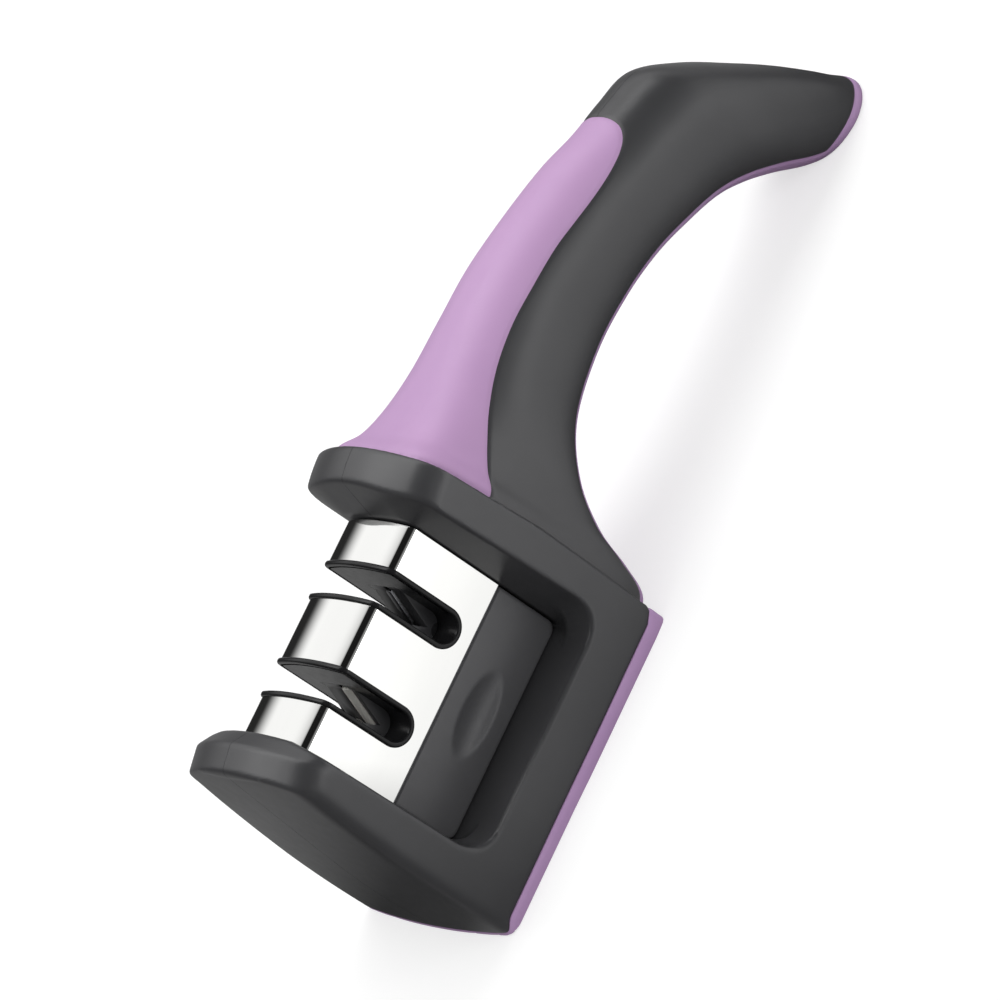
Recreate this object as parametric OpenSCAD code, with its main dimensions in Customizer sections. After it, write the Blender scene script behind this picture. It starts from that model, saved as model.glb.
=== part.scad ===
// Two-stage pull-through knife sharpener with an arched handle and a lift-out cartridge.
// X runs from the nose to the tip of the handle, Y across, Z up from the table.

/* [Head] */
// Thickness of the shoulder from the bay to its back
shoulder_t = 10.3; // [9:0.1:12]
// Width of the head at its base
head_w = 54; // [47:0.5:60]
// Width of the head across the tops of its two arms
arm_w = 43; // [40:0.5:46]
// Height of the nose arm above the table
nose_h = 63.6; // [60:0.2:66]
// Height of the shoulder above the table
shoulder_h = 69; // [66:0.2:74]
// How far the nose bows forward at the base
nose_bow = 2.8; // [1:0.1:5]
// How far the nose bows forward at the top
nose_top_bow = 2.2; // [0.5:0.1:3]
// How far the inner edge of the nose arm's top bows back in the middle
nose_back_bow = 2.6; // [1:0.1:3.5]
// How far the nose leans back from base to top, at the sides of the head
nose_lean = 2.2; // [1:0.1:3.5]
// How far the top of the nose arm falls from the middle to the sides
nose_crown = 4; // [3:0.1:6]
// How far the top of the shoulder falls from the middle to the sides
shoulder_crown = 4.4; // [3:0.1:6]
// Drop of each arm's top from its inner edge to its outer edge
arm_slope = 1.6; // [0.5:0.1:3]
// Radius of the upright edges at the top of the head
edge_r_top = 4; // [2:0.5:6]
// Radius of the upright edges at the base of the head
edge_r_base = 2.5; // [1.5:0.5:5]

/* [Bay] */
// Height of the bay's floor above the table
bay_floor = 13; // [11:0.2:15]
// Thickness of the nose arm on the centre plane, at its top
nose_arm_t = 9; // [8:0.1:10]
// How far the bay's walls open out from the cartridge to the sides of the head
bay_flare = 2.8; // [1:0.1:3.2]
// Radius of the bay's lower corners where they meet the sides of the head
bay_corner_r = 7; // [4:0.5:8]
// Gap between the cartridge and the bay
bay_gap = 0.4; // [0.35:0.05:0.6]

/* [Handle] */
// Reach of the handle from the back of the head to its tip
handle_reach = 129; // [110:1:150]
// How far the handle's back sits below the top of the shoulder where it leaves it
handle_drop = 6.5; // [5:0.1:9]
// Width of the handle at its grip
handle_w = 27; // [23:0.5:31]
// Squareness of the handle's cross-section, 2 is an ellipse
handle_square = 2.4; // [2:0.1:3]

/* [Soft grips] */
// Thickness of the soft pad under the base
pad_t = 3.2; // [2:0.1:4]
// How far the soft pad stands out round the base
pad_proud = 0.4; // [0:0.1:0.8]
// Thickness of the soft layer on top of the handle
grip_t = 2.4; // [1.5:0.1:3]

/* [Cartridge] */
// Distance from the middle of each slot to the near end of the cartridge
cart_end_l = 13.85; // [13:0.05:15]
// Width of the cartridge
cart_w = 24.2; // [22:0.2:26]
// Height of the cartridge up to the shoulders of its crown
cart_h = 41.8; // [40:0.2:44]
// Rise of the crown over the shoulders
crown_h = 1.3; // [0.5:0.1:2]
// Radius of the cover's long edges
crown_r = 1.8; // [1:0.1:3]
// Height of the dark grip below the cover
grip_h = 16.6; // [14:0.2:18]
// Length of each finger dimple
dimple_l = 19; // [14:0.5:22]
// Height of each finger dimple
dimple_h = 8; // [6:0.5:10]
// Depth of each finger dimple
dimple_d = 1.1; // [0.6:0.1:1.6]
// Thickness of the sheet steel cover
cover_t = 0.5; // [0.4:0.05:0.8]

/* [Slots] */
// Distance between the two slots
slot_pitch = 22.5; // [21:0.1:24]
// Width of each slot's guide, outside
slot_w = 8.1; // [7.4:0.1:8.6]
// Depth of each slot from the crown
slot_depth = 22.6; // [20:0.2:24]
// Wall of each slot's guide
guide_t = 0.8; // [0.6:0.05:1]
// How far the guide's lip stands out of the cover
lip_h = 0.5; // [0.3:0.05:0.8]
// Half angle of the V in each stage
vee_half_angle = 20; // [17:0.5:24]

/* [Sharpening pieces] */
// Thickness of each carbide plate
carbide_t = 1.6; // [1.2:0.1:2]
// Width of each carbide plate
carbide_w = 4.4; // [3.6:0.1:4.8]
// Length of each carbide plate
carbide_l = 15; // [13:0.5:16]
// Diameter of each ceramic rod
rod_d = 4.2; // [3.4:0.1:4.6]
// Length of each ceramic rod
rod_l = 15; // [12.5:0.5:15.5]
// Height above the slot's floor at which the two pieces of a stage cross
cross_h = 5; // [4:0.2:6]
// How far the pieces stand out of the V of their holder
work_proud = 0.7; // [0.4:0.1:0.9]
// Length of each stage's holder along the head
holder_l = 15.4; // [15:0.1:16.4]
// Width of each stage's holder
holder_w = 10.4; // [9.8:0.1:12]
// Height of the foot that each holder stands on
holder_lift = 5; // [4:0.5:6]
// Thickness of the cartridge's bottom plate
plate_t = 2; // [1.6:0.1:2.4]
// How far the bottom plate is set in from the cartridge's sides
plate_inset = 2; // [1.6:0.1:2.6]

/* [Fasteners] */
// Thread diameter of the body screws
body_screw_d = 3; // [2.5:0.1:3.5]
// Length of the body screws
body_screw_l = 16; // [14:0.5:20]
// Thread diameter of the cartridge screws
cart_screw_d = 2.2; // [2:0.1:2.6]
// Length of the cartridge screws
cart_screw_l = 14; // [12:0.5:16]
// Thread diameter of the small screws that clamp the carbide plates
clamp_screw_d = 2; // [1.6:0.1:2.2]
// Thickness of the spring strip that steadies the cartridge
spring_t = 0.4; // [0.3:0.05:0.5]
// Width of the spring strip
spring_w = 5; // [4:0.5:6]
// Length of the spring strip
spring_l = 16; // [13:0.5:18]
// How far the seated spring strip stands out of the cartridge
spring_proud = 0.3; // [0.2:0.05:0.3]
// Depth of the spring's seat in the cartridge
spring_seat = 2.2; // [1.8:0.1:2.6]

/* [Hidden] */

abs_col = [0.24, 0.24, 0.25];
tpr_col = [0.70, 0.56, 0.76];
steel_col = [0.85, 0.85, 0.86];
carbide_col = [0.45, 0.45, 0.47];
ceramic_col = [0.88, 0.87, 0.83];

// Overrun of every cut past the face that it opens
over = 2;
// Thickness of the slices that a loft is stretched between
slice_t = 0.02;
// Clearance between pieces of the cartridge that are pushed together
fit = 0.05;
// Gap of the seam between the cover and the dark grip below it
cover_gap = 0.2;

// Places along X, from the corner of the nose, before the part is centred
nose_top_x = nose_lean;
bay_x0 = nose_top_x + nose_arm_t;
cart_l = slot_pitch + 2 * cart_end_l;
bay_x1 = bay_x0 + cart_l + 2 * bay_gap;
head_l = bay_x1 + shoulder_t;
tip_x = head_l + handle_reach;
part_l = tip_x + nose_bow + pad_proud;
shift_x = part_l / 2 - tip_x;
handle_h = shoulder_h - handle_drop;
cart_x0 = bay_x0 + bay_gap;
cart_x1 = cart_x0 + cart_l;
cart_xc = (cart_x0 + cart_x1) / 2;
fine_x = cart_xc - slot_pitch / 2;
coarse_x = cart_xc + slot_pitch / 2;
cart_z0 = bay_floor + bay_gap;
cart_z1 = cart_z0 + cart_h;
crown_z = cart_z1 + crown_h;
cover_z0 = cart_z0 + grip_h;
slot_floor = crown_z - slot_depth;
slot_in = slot_w / 2 - guide_t;
cross_z = slot_floor + cross_h;

// Outline of the head in plan, its nose bowed
plan_steps = 16;
function bow_x(y, half, bow) = -bow * (1 - pow(y / half, 2));
function bowed_line(half, bow, x0) = [for (i = [0 : plan_steps])
    let (y = half - 2 * half * i / plan_steps) [x0 + bow_x(y, half, bow), y]];
function turned(points) = [for (i = [len(points) - 1 : -1 : 0]) points[i]];

module plan(half, bow, x0, x1, r, back_bow = 0) {
    offset(r = r, $fn = 32) offset(delta = -r) polygon(back_bow == 0
        ? concat(bowed_line(half, bow, x0), [[x1, -half], [x1, half]])
        : concat(bowed_line(half, bow, x0), turned(bowed_line(half, -back_bow, x1))));
}

// Layers of the head under an arm's top: drop as a share of the crown, width as a share of
// the arm's width, and how far the layer is set in lengthwise, as a share of the nose arm
CROWN_SHARES = [[2.6, 1, 0], [1.6, 0.95, 0.01], [0.9, 0.84, 0.04], [0.3, 0.6, 0.16], [0, 0.15, 0.4]];

// The space that the head may fill up to one arm's top: flared to the base, crowned above,
// its layers ending at x_end at the sides and back_bow further on in the middle
waist_share = 0.34;
module head_envelope(top_h, crown, x_end, back_bow, grow) {
    hull() {
        linear_extrude(slice_t)
            plan(head_w / 2 + grow, nose_bow, -grow, head_l + rear_bulge + grow, edge_r_base);
        translate([0, 0, waist_share * top_h]) linear_extrude(slice_t)
            plan(head_w / 2 + (arm_w - head_w) * waist_share / 2, 1.2 * nose_bow,
                0.15 * nose_lean, head_l, edge_r_base);
        for (q = CROWN_SHARES) translate([0, 0, top_h - q[0] * crown - slice_t])
            linear_extrude(slice_t) plan(q[1] * arm_w / 2, nose_top_bow * q[1],
                nose_top_x + (q[1] - 1) * nose_top_bow + q[2] * nose_arm_t,
                x_end - q[2] * nose_arm_t, edge_r_top * q[1], back_bow * q[1]);
    }
}
module head_block(grow = 0) {
    intersection() {
        head_envelope(nose_h, nose_crown, bay_x0 - nose_back_bow, nose_back_bow, grow);
        translate([-head_l, -head_w, 0]) cube([head_l + cart_xc, 2 * head_w, shoulder_h]);
    }
    intersection() {
        head_envelope(shoulder_h, shoulder_crown, head_l + 0.3 * edge_r_top, 0, grow);
        translate([cart_xc, -head_w, 0]) cube([head_l, 2 * head_w, shoulder_h]);
    }
}

// The head's back face on the side view, leaning in above its middle
function rear_x(z) = head_l + rear_bulge * (shoulder_h - z - arm_slope / 2) * 2 / (shoulder_h - arm_slope);

// Side view of the head: two arms over a bar, their tops sloping to the outside
module side_profile() {
    offset(r = edge_soft, $fn = 24) offset(delta = -edge_soft) polygon([
        [-nose_bow - over, 0],
        [head_l - rear_bulge, 0],
        [head_l + rear_bulge, shoulder_h * 0.5],
        [rear_x(shoulder_h - arm_slope / 2), shoulder_h - arm_slope / 2],
        [head_l - rear_arm_t * brow_share, shoulder_h],
        [bay_x1 + wall_lean, shoulder_h - arm_slope],
        [bay_x1, shoulder_h - brow_drop],
        [bay_x1, bay_floor],
        [bay_x0, bay_floor],
        [bay_x0, nose_h - nose_strip_drop],
        [bay_x0 - nose_strip, nose_h],
        [nose_ridge_x, nose_h - arm_slope],
        [nose_ridge_x - nose_bow - over, nose_h - arm_slope - nose_bow - over]]);
}
edge_soft = 0.8;
rear_arm_t = head_l - bay_x1;
rear_bulge = 0.9;
brow_share = 0.25;
wall_lean = 2.4;
brow_drop = 8.5;
// The nose arm's top: a strip that falls to the bay, its crest, then a slope to its ridge
nose_strip = 0.55 * nose_arm_t;
nose_strip_drop = 1.5 * arm_slope;
nose_ridge_x = nose_lean - 0.6 * nose_top_bow;

// The opening on each side of the cartridge, wider at the side of the head than at the bay
module flare(side) {
    hull() {
        translate([0, side * (cart_w / 2 + bay_gap), 0]) rotate([90, 0, 0])
            linear_extrude(slice_t) bay_outline(0, bay_corner_r / 2);
        translate([0, side * (head_w / 2 + over), 0]) rotate([90, 0, 0])
            linear_extrude(slice_t) bay_outline(bay_flare, bay_corner_r);
    }
}
floor_rise = 0.35;
module bay_outline(open, r) {
    offset(r = r, $fn = 32) offset(delta = -r) polygon([
        [bay_x0 - open, bay_floor + floor_rise * open],
        [bay_x1 + open, bay_floor + floor_rise * open],
        [bay_x1 + open + wall_lean / 2, shoulder_h + r + over],
        [bay_x0 - open, shoulder_h + r + over]]);
}

module head() {
    difference() {
        intersection() {
            rotate([90, 0, 0]) linear_extrude(head_w + 2 * over, center = true) side_profile();
            head_block();
        }
        flare(1);
        flare(-1);
        bay_cut();
    }
}

// The bay that the cartridge drops into
module bay_cut() {
    translate([bay_x0, -cart_w / 2 - bay_gap, bay_floor])
        cube([bay_x1 - bay_x0, cart_w + 2 * bay_gap, shoulder_h]);
}

// The handle is a loft. Each row below is one section, from the head to the tip:
// the places of its top and bottom as shares of the reach and of the handle's height, its
// half width at the top and at the bottom as shares of half the grip's width, and its
// squareness as a share of the grip's. The foot's sections reach below the table, where
// they are cut flat.
HANDLE_SHARES = [
    [-0.03, 1.055, -0.03, -0.01, 1.4, 1.85, 2.1],
    [0.015, 1.03, 0.005, 0.03, 1.5, 1.95, 2],
    [0.05, 0.995, 0.03, 0.12, 1.3, 1.87, 1.8],
    [0.105, 0.975, 0.06, 0.235, 1.14, 1.72, 1.5],
    [0.175, 0.97, 0.12, 0.35, 1.03, 1.55, 1.25],
    [0.27, 0.97, 0.21, 0.435, 0.97, 1.23, 1.1],
    [0.365, 0.965, 0.335, 0.465, 0.92, 1.05, 1.05],
    [0.47, 0.935, 0.445, 0.45, 0.86, 0.99, 1],
    [0.57, 0.89, 0.535, 0.415, 0.83, 0.98, 1],
    [0.65, 0.835, 0.61, 0.36, 0.84, 0.96, 1],
    [0.72, 0.8, 0.68, 0.295, 0.87, 0.96, 1],
    [0.79, 0.75, 0.73, 0.22, 0.94, 1, 1],
    [0.845, 0.615, 0.775, 0.13, 0.96, 1.09, 1],
    [0.89, 0.46, 0.82, 0.025, 0.94, 1.06, 1.1],
    [0.925, 0.33, 0.86, -0.035, 0.93, 1.05, 1.15],
    [0.955, 0.2, 0.9, -0.05, 0.87, 1.03, 1.2],
    [0.975, 0.105, 0.94, -0.05, 0.71, 0.91, 1.2],
    [0.99, 0.045, 0.975, -0.045, 0.48, 0.67, 1.2],
    [1, 0.006, 0.998, -0.04, 0.17, 0.25, 1.2]];
handle_rows = len(HANDLE_SHARES);
loft_steps = 2 * (handle_rows - 1);
core_steps = handle_rows - 1;
section_steps = 12;

function row(i) = HANDLE_SHARES[max(0, min(handle_rows - 1, i))];
// Catmull-Rom curve through the rows
function blend_rows(a, b, c, d, t) = 0.5 * (2 * b + (c - a) * t
    + (2 * a - 5 * b + 4 * c - d) * t * t + (3 * b - a - 3 * c + d) * t * t * t);
function section(s) = let (k = floor(s), t = s - k)
    blend_rows(row(k - 1), row(k), row(k + 1), row(k + 2), t);
function top_of(q) = [head_l + q[0] * handle_reach, q[1] * handle_h];
function bottom_of(q) = [head_l + q[2] * handle_reach, q[3] * handle_h];
function power(v, p) = sign(v) * pow(abs(v), p);

// One half section in space, on the +Y side, shrunk by inset all round
function ring(s, inset) = let (
    q = section(s),
    mid = (top_of(q) + bottom_of(q)) / 2,
    up = (top_of(q) - bottom_of(q)) / 2,
    h_share = 1 - inset / norm(up),
    w_top = q[4] * handle_w / 2 - inset,
    w_bottom = q[5] * handle_w / 2 - inset)
    [for (i = [0 : section_steps]) let (
        a = -90 + 180 * i / section_steps,
        out = i % section_steps == 0 ? 0 : power(cos(a), 2 / (q[6] * handle_square)),
        rise = power(sin(a), 2 / (q[6] * handle_square)),
        w = (w_bottom + w_top + (w_top - w_bottom) * rise) / 2)
        [mid[0] + up[0] * rise * h_share, w * out, mid[1] + up[1] * rise * h_share]];

function mirrored(points) = [for (i = [len(points) - 2 : -1 : 1]) [points[i][0], -points[i][1], points[i][2]]];
// Closed skin over a row of rings with equally many points
module skin(rings) {
    n = len(rings[0]);
    last = (len(rings) - 1) * n;
    polyhedron(points = [for (r = rings) each r], faces = concat(
        [for (k = [0 : len(rings) - 2], i = [0 : n - 1]) let (j = (i + 1) % n)
            each [[k * n + i, (k + 1) * n + i, k * n + j],
                [k * n + j, (k + 1) * n + i, (k + 1) * n + j]]],
        [[for (i = [0 : n - 1]) i]],
        [[for (i = [n - 1 : -1 : 0]) last + i]]));
}
// All of the handle, or its half on the +Y side
module handle_loft(whole, inset = 0, steps = loft_steps) {
    skin([for (i = [0 : steps]) let (r = ring((handle_rows - 1) * i / steps, inset))
        whole ? concat(r, mirrored(r)) : r]);
}
// The dark core under the soft grip
module handle_core() {
    handle_loft(true, grip_t, core_steps);
}

// Side view of the soft grip on the handle's back, with its rounded far end. It starts at
// the back of the head
GRIP_SHARES = [[0.012, 0.757], [0.03, 0.765], [0.055, 0.785], [0.09, 0.81],
    [0.14, 0.84], [0.21, 0.865], [0.285, 0.872], [0.355, 0.862], [0.43, 0.843],
    [0.49, 0.816], [0.54, 0.793], [0.59, 0.775], [0.63, 0.768], [0.658, 0.775], [0.677, 0.798],
    [0.688, 0.85], [0.682, 0.90], [0.66, 1.2]];
module grip_region() {
    rotate([90, 0, 0]) linear_extrude(head_w, center = true)
        polygon(concat([for (share = [1.2, 0.753]) [rear_x(share * handle_h), share * handle_h]],
            [for (p = GRIP_SHARES) [head_l + p[0] * handle_reach, p[1] * handle_h]]));
}

// Side view of the soft layer under the base, the arch and the foot
foot_row = 14;
module sole_region() {
    rotate([90, 0, 0]) linear_extrude(head_w + 2 * over, center = true) polygon(concat(
        [for (i = [0 : 2 * foot_row])
            let (q = section(i / 2), b = bottom_of(q), u = top_of(q) - b, t = b + u / norm(u) * pad_t)
            [t[0], max(t[1], pad_t)]],
        [[tip_x + over, pad_t], [tip_x + over, -handle_h], [head_l / 2, -handle_h],
        [head_l / 2, pad_t]]));
}

module above(z) {
    translate([-head_l, -head_w, z]) cube([part_l + 2 * head_l, 2 * head_w, 2 * shoulder_h]);
}
// The dark half on the +Y side: head and handle, without what the soft grips take
module dark_half() {
    difference() {
        union() {
            intersection() {
                head();
                translate([-head_l, 0, 0]) cube([part_l + head_l, head_w, 2 * shoulder_h]);
            }
            difference() {
                handle_loft(false);
                difference() {
                    grip_region();
                    handle_core();
                }
                bay_cut();
                flare(1);
            }
        }
        translate([-head_l, -head_w, -over]) cube([2 * head_l, 2 * head_w, pad_t + over]);
        sole_region();
    }
}

// Body screws: places on the side view, two in the head and two in the handle
screw_places = [
    [bay_x0 * 0.5, (bay_floor + pad_t) / 2],
    [head_l - rear_arm_t / 2, (bay_floor + pad_t) / 2],
    [head_l + handle_reach * 0.18, handle_h * 0.66],
    [head_l + handle_reach * 0.74, handle_h * 0.5]];
screw_head_d = 1.9 * body_screw_d;
screw_head_t = 0.65 * body_screw_d;
// Depth from the parting plane to the seat of each screw's head
screw_seat = body_screw_l * 0.45;

module at_screws() {
    for (p = screw_places) translate([p[0], 0, p[1]]) children();
}
// Along +Y: the screw's own length and its head
module screw(d, l, seat, head_d, head_t) {
    rotate([-90, 0, 0]) translate([0, 0, seat - l]) cylinder(d = d, h = l, $fn = 24);
    rotate([-90, 0, 0]) translate([0, 0, seat]) difference() {
        cylinder(d1 = head_d, d2 = 0.75 * head_d, h = head_t, $fn = 32);
        for (turn = [0, 90]) rotate([0, 0, turn])
            translate([-head_d * 0.3, -head_d * 0.07, head_t * 0.45])
            cube([head_d * 0.6, head_d * 0.14, head_t]);
    }
}
module body_screws() {
    color(steel_col) at_screws()
        screw(body_screw_d, body_screw_l, screw_seat, screw_head_d, screw_head_t);
}

module body_left() {
    color(abs_col) difference() {
        dark_half();
        at_screws() rotate([-90, 0, 0]) {
            translate([0, 0, -over]) cylinder(d = body_screw_d + 2 * fit, h = head_w, $fn = 24);
            translate([0, 0, screw_seat]) cylinder(d = screw_head_d + 4 * fit, h = head_w, $fn = 32);
        }
    }
}
module body_right() {
    color(abs_col) difference() {
        mirror([0, 1, 0]) dark_half();
        at_screws() rotate([90, 0, 0]) translate([0, 0, -over])
            cylinder(d = body_screw_d + 2 * fit, h = body_screw_l - screw_seat + over + fit, $fn = 24);
    }
}

module top_grip() {
    color(tpr_col) difference() {
        intersection() {
            handle_loft(true);
            grip_region();
        }
        handle_core();
    }
}
module sole() {
    color(tpr_col) union() {
        difference() {
            head_block(pad_proud);
            above(pad_t);
            translate([head_l - rear_bulge + pad_proud, -head_w, 0]) cube(2 * head_w);
        }
        intersection() {
            handle_loft(true);
            sole_region();
            translate([0.9 * head_l, 0, 0]) above(0);
        }
    }
}

// Cross-section of the cartridge, drawn on Y and Z: flat sides under a low crown
arc_steps = 6;
crown_steps = 10;
function crown_at(y, half, rise) = rise * (1 - pow(y / half, 2));
function cart_section(half, z0, z1, rise, r) = concat(
    [[-half, z0], [half, z0]],
    [for (i = [0 : arc_steps]) let (a = 90 * i / arc_steps)
        [half - r + r * cos(a), z1 - r + r * sin(a)]],
    [for (i = [1 : crown_steps - 1]) let (y = (half - r) * (1 - 2 * i / crown_steps))
        [y, z1 + crown_at(y, half - r, rise)]],
    [for (i = [0 : arc_steps]) let (a = 90 + 90 * i / arc_steps)
        [-half + r + r * cos(a), z1 - r + r * sin(a)]]);
module cart_block(x0, x1, half, z0, z1, rise, r) {
    translate([x0, 0, 0]) rotate([90, 0, 90]) linear_extrude(x1 - x0)
        polygon(cart_section(half, z0, z1, rise, r));
}

// U shape of a slot on the side view, open at the top
module slot_cut(xc, half, floor_z, y_half) {
    translate([xc, 0, floor_z + half]) rotate([90, 0, 0]) {
        cylinder(r = half, h = 2 * y_half, center = true, $fn = 48);
        translate([-half, 0, -y_half]) cube([2 * half, crown_z, 2 * y_half]);
    }
}
module both_slots(half, floor_z, y_half) {
    slot_cut(fine_x, half, floor_z, y_half);
    slot_cut(coarse_x, half, floor_z, y_half);
}

// The pocket under each slot that holds a stage's holder
holder_z0 = cart_z0 + plate_t + holder_lift;
holder_z1 = cross_z + slot_in / tan(vee_half_angle);
pocket_fit = 2 * fit;
module holder_pockets() {
    for (x = [fine_x, coarse_x])
        translate([x - holder_l / 2 - pocket_fit, -holder_w / 2 - pocket_fit, cart_z0 - over])
            cube([holder_l + 2 * pocket_fit, holder_w + 2 * pocket_fit,
                holder_z1 + pocket_fit - cart_z0 + over]);
}

cart_head_d = 1.8 * cart_screw_d;
// Three screws hold the halves, hidden under the cover: one at each end, one between the slots
// The end screws stand midway between the spring's seat and the holder's pocket
cart_screw_in = (spring_seat + cart_end_l - holder_l / 2 - pocket_fit) / 2;
cart_screw_places = [
    [cart_x0 + cart_screw_in, cover_z0 + cart_head_d],
    [cart_xc, cover_z0 + 2.5 * cart_head_d],
    [cart_x1 - cart_screw_in, cover_z0 + cart_head_d]];
cart_head_t = 0.6 * cart_screw_d;
cart_seat = cart_w / 2 - cover_t - cart_head_t - 2 * fit;

// The cartridge before it is split into halves
module cart_solid() {
    inner = cart_w / 2 - cover_t - fit;
    difference() {
        union() {
            cart_block(cart_x0, cart_x1, inner, cover_z0 - over, cart_z1 - cover_t - fit,
                crown_h, crown_r - cover_t);
            difference() {
                translate([cart_x0, -cart_w / 2, cart_z0]) cube([cart_l, cart_w, grip_h]);
                cart_corners();
            }
        }
        both_slots(slot_w / 2 + fit, slot_floor - fit, cart_w);
        holder_pockets();
        translate([cart_x0 + plate_inset - fit, -cart_w / 2 + plate_inset - fit, cart_z0 - over])
            cube([cart_l - 2 * plate_inset + 2 * fit, cart_w - 2 * plate_inset + 2 * fit,
                plate_t + over + fit]);
        for (side = [-1, 1]) dimple(side);
        spring_slots();
    }
}
cart_corner_r = 2;
// Rounds the lower corners of the grip on the side view
module cart_corners() {
    for (end = [0, 1]) translate([end ? cart_x1 : cart_x0, 0, cart_z0]) mirror([end, 0, 0])
        difference() {
            translate([-over, -cart_w, -over])
                cube([over + cart_corner_r, 2 * cart_w, over + cart_corner_r]);
            translate([cart_corner_r, 0, cart_corner_r]) rotate([90, 0, 0])
                cylinder(r = cart_corner_r, h = 2 * cart_w + 2 * over, center = true, $fn = 48);
        }
}
// A shallow oval thumb rest: a ball's cap, stretched along X
module dimple(side) {
    rise = dimple_h * dimple_h / (8 * dimple_d) + dimple_d / 2;
    translate([cart_xc, side * (cart_w / 2 - dimple_d + rise), cart_z0 + grip_h * 0.48])
        scale([dimple_l / dimple_h, 1, 1]) sphere(r = rise, $fn = 48);
}
// Seats of the spring strips in the ends of the cartridge
spring_z0 = cart_z0 + 3 * cart_corner_r;
module spring_slots() {
    for (x = [cart_x0 - over, cart_x1 - spring_seat])
        translate([x, -spring_w / 2 - fit, spring_z0 - fit])
            cube([spring_seat + over, spring_w + 2 * fit, spring_l + 2 * fit]);
}

module cartridge_half(side) {
    intersection() {
        cart_solid();
        translate([cart_x0 - over, side > 0 ? 0 : -cart_w, 0])
            cube([cart_l + 2 * over, cart_w, crown_z + over]);
    }
}
module cartridge_left() {
    color(abs_col) difference() {
        cartridge_half(1);
        for (p = cart_screw_places) translate([p[0], 0, p[1]]) rotate([-90, 0, 0]) {
            translate([0, 0, -over]) cylinder(d = cart_screw_d + 2 * fit, h = cart_w, $fn = 32);
            translate([0, 0, cart_seat]) cylinder(d = cart_head_d + 4 * fit, h = cart_w, $fn = 32);
        }
    }
}
module cartridge_right() {
    color(abs_col) difference() {
        cartridge_half(-1);
        for (p = cart_screw_places) translate([p[0], over, p[1]]) rotate([90, 0, 0])
            cylinder(d = cart_screw_d + 2 * fit, h = cart_screw_l - cart_seat + over + fit, $fn = 32);
    }
}
module cartridge_screws() {
    color(steel_col) for (p = cart_screw_places) translate([p[0], 0, p[1]])
        screw(cart_screw_d, cart_screw_l, cart_seat, cart_head_d, cart_head_t);
}

module steel_cover() {
    color(steel_col) difference() {
        cart_block(cart_x0, cart_x1, cart_w / 2, cover_z0 + cover_gap, cart_z1, crown_h, crown_r);
        cart_block(cart_x0 - over, cart_x1 + over, cart_w / 2 - cover_t, cover_z0 - over,
            cart_z1 - cover_t, crown_h, crown_r - cover_t);
        both_slots(slot_w / 2 + fit, slot_floor - fit, cart_w);
    }
}

// A slot's guide: a U with a lip that stands out of the cover, open in the middle for its stage
module guide(xc) {
    difference() {
        intersection() {
            slot_cut(xc, slot_w / 2, slot_floor, cart_w);
            cart_block(cart_x0, cart_x1, cart_w / 2 + lip_h, cart_z0, cart_z1 + lip_h,
                crown_h, crown_r + lip_h);
        }
        slot_cut(xc, slot_in, slot_floor + guide_t, 2 * cart_w);
        translate([xc - holder_l / 2, -holder_w / 2 - pocket_fit, cart_z0])
            cube([holder_l, holder_w + 2 * pocket_fit, holder_z1 + pocket_fit - cart_z0]);
    }
}
module coarse_guide() {
    color(abs_col) guide(coarse_x);
}
module fine_guide() {
    color(abs_col) guide(fine_x);
}

// A stage's holder: a block with a V for the blade, set back behind the pieces it holds
module holder(xc) {
    vee_drop = work_proud / sin(vee_half_angle);
    difference() {
        translate([xc - holder_l / 2, -holder_w / 2, holder_z0])
            cube([holder_l, holder_w, holder_z1 - holder_z0]);
        translate([xc, 0, cross_z - vee_drop]) rotate([90, 0, 0])
            linear_extrude(2 * holder_w, center = true)
            polygon([[0, 0], [slot_in, slot_in / tan(vee_half_angle)], [slot_in, slot_depth],
                [-slot_in, slot_depth], [-slot_in, slot_in / tan(vee_half_angle)]]);
    }
}
// Each stage has two pieces that lean apart and cross, one on each side of the centre plane
foot_share = 0.45;
module leaning(xc, side) {
    translate([xc, 0, cross_z]) rotate([0, side * vee_half_angle, 0]) children();
}
plate_y = carbide_t / 2 + fit;
module carbide_plate(side, grow = 0, rise = 0) {
    leaning(coarse_x, side) translate([side > 0 ? -grow : -carbide_w - grow,
        -side * plate_y - carbide_t / 2 - grow, -carbide_l * foot_share - grow])
        cube([carbide_w + 2 * grow, carbide_t + 2 * grow, carbide_l + 2 * grow + rise]);
}
rod_y = rod_d / 2 + fit;
module ceramic_rod(side, grow = 0, rise = 0) {
    leaning(fine_x, side) translate([side * rod_d / 2, -side * rod_y, -rod_l * foot_share - grow])
        cylinder(d = rod_d + 2 * grow, h = rod_l + 2 * grow + rise, $fn = 48);
}

module carbide_holder() {
    color(abs_col) difference() {
        holder(coarse_x);
        for (side = [-1, 1]) {
            carbide_plate(side, fit, over);
            clamp_place(side) translate([0, 0, -over])
                cylinder(d = clamp_screw_d + 2 * fit, h = clamp_l + over, $fn = 32);
            clamp_place(side) translate([0, 0, -over])
                cylinder(d = clamp_head_d + 2 * fit, h = clamp_head_t + over + fit, $fn = 32);
        }
    }
}
module carbide_plate_front() {
    color(carbide_col) carbide_plate(1);
}
module carbide_plate_back() {
    color(carbide_col) carbide_plate(-1);
}
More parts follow.
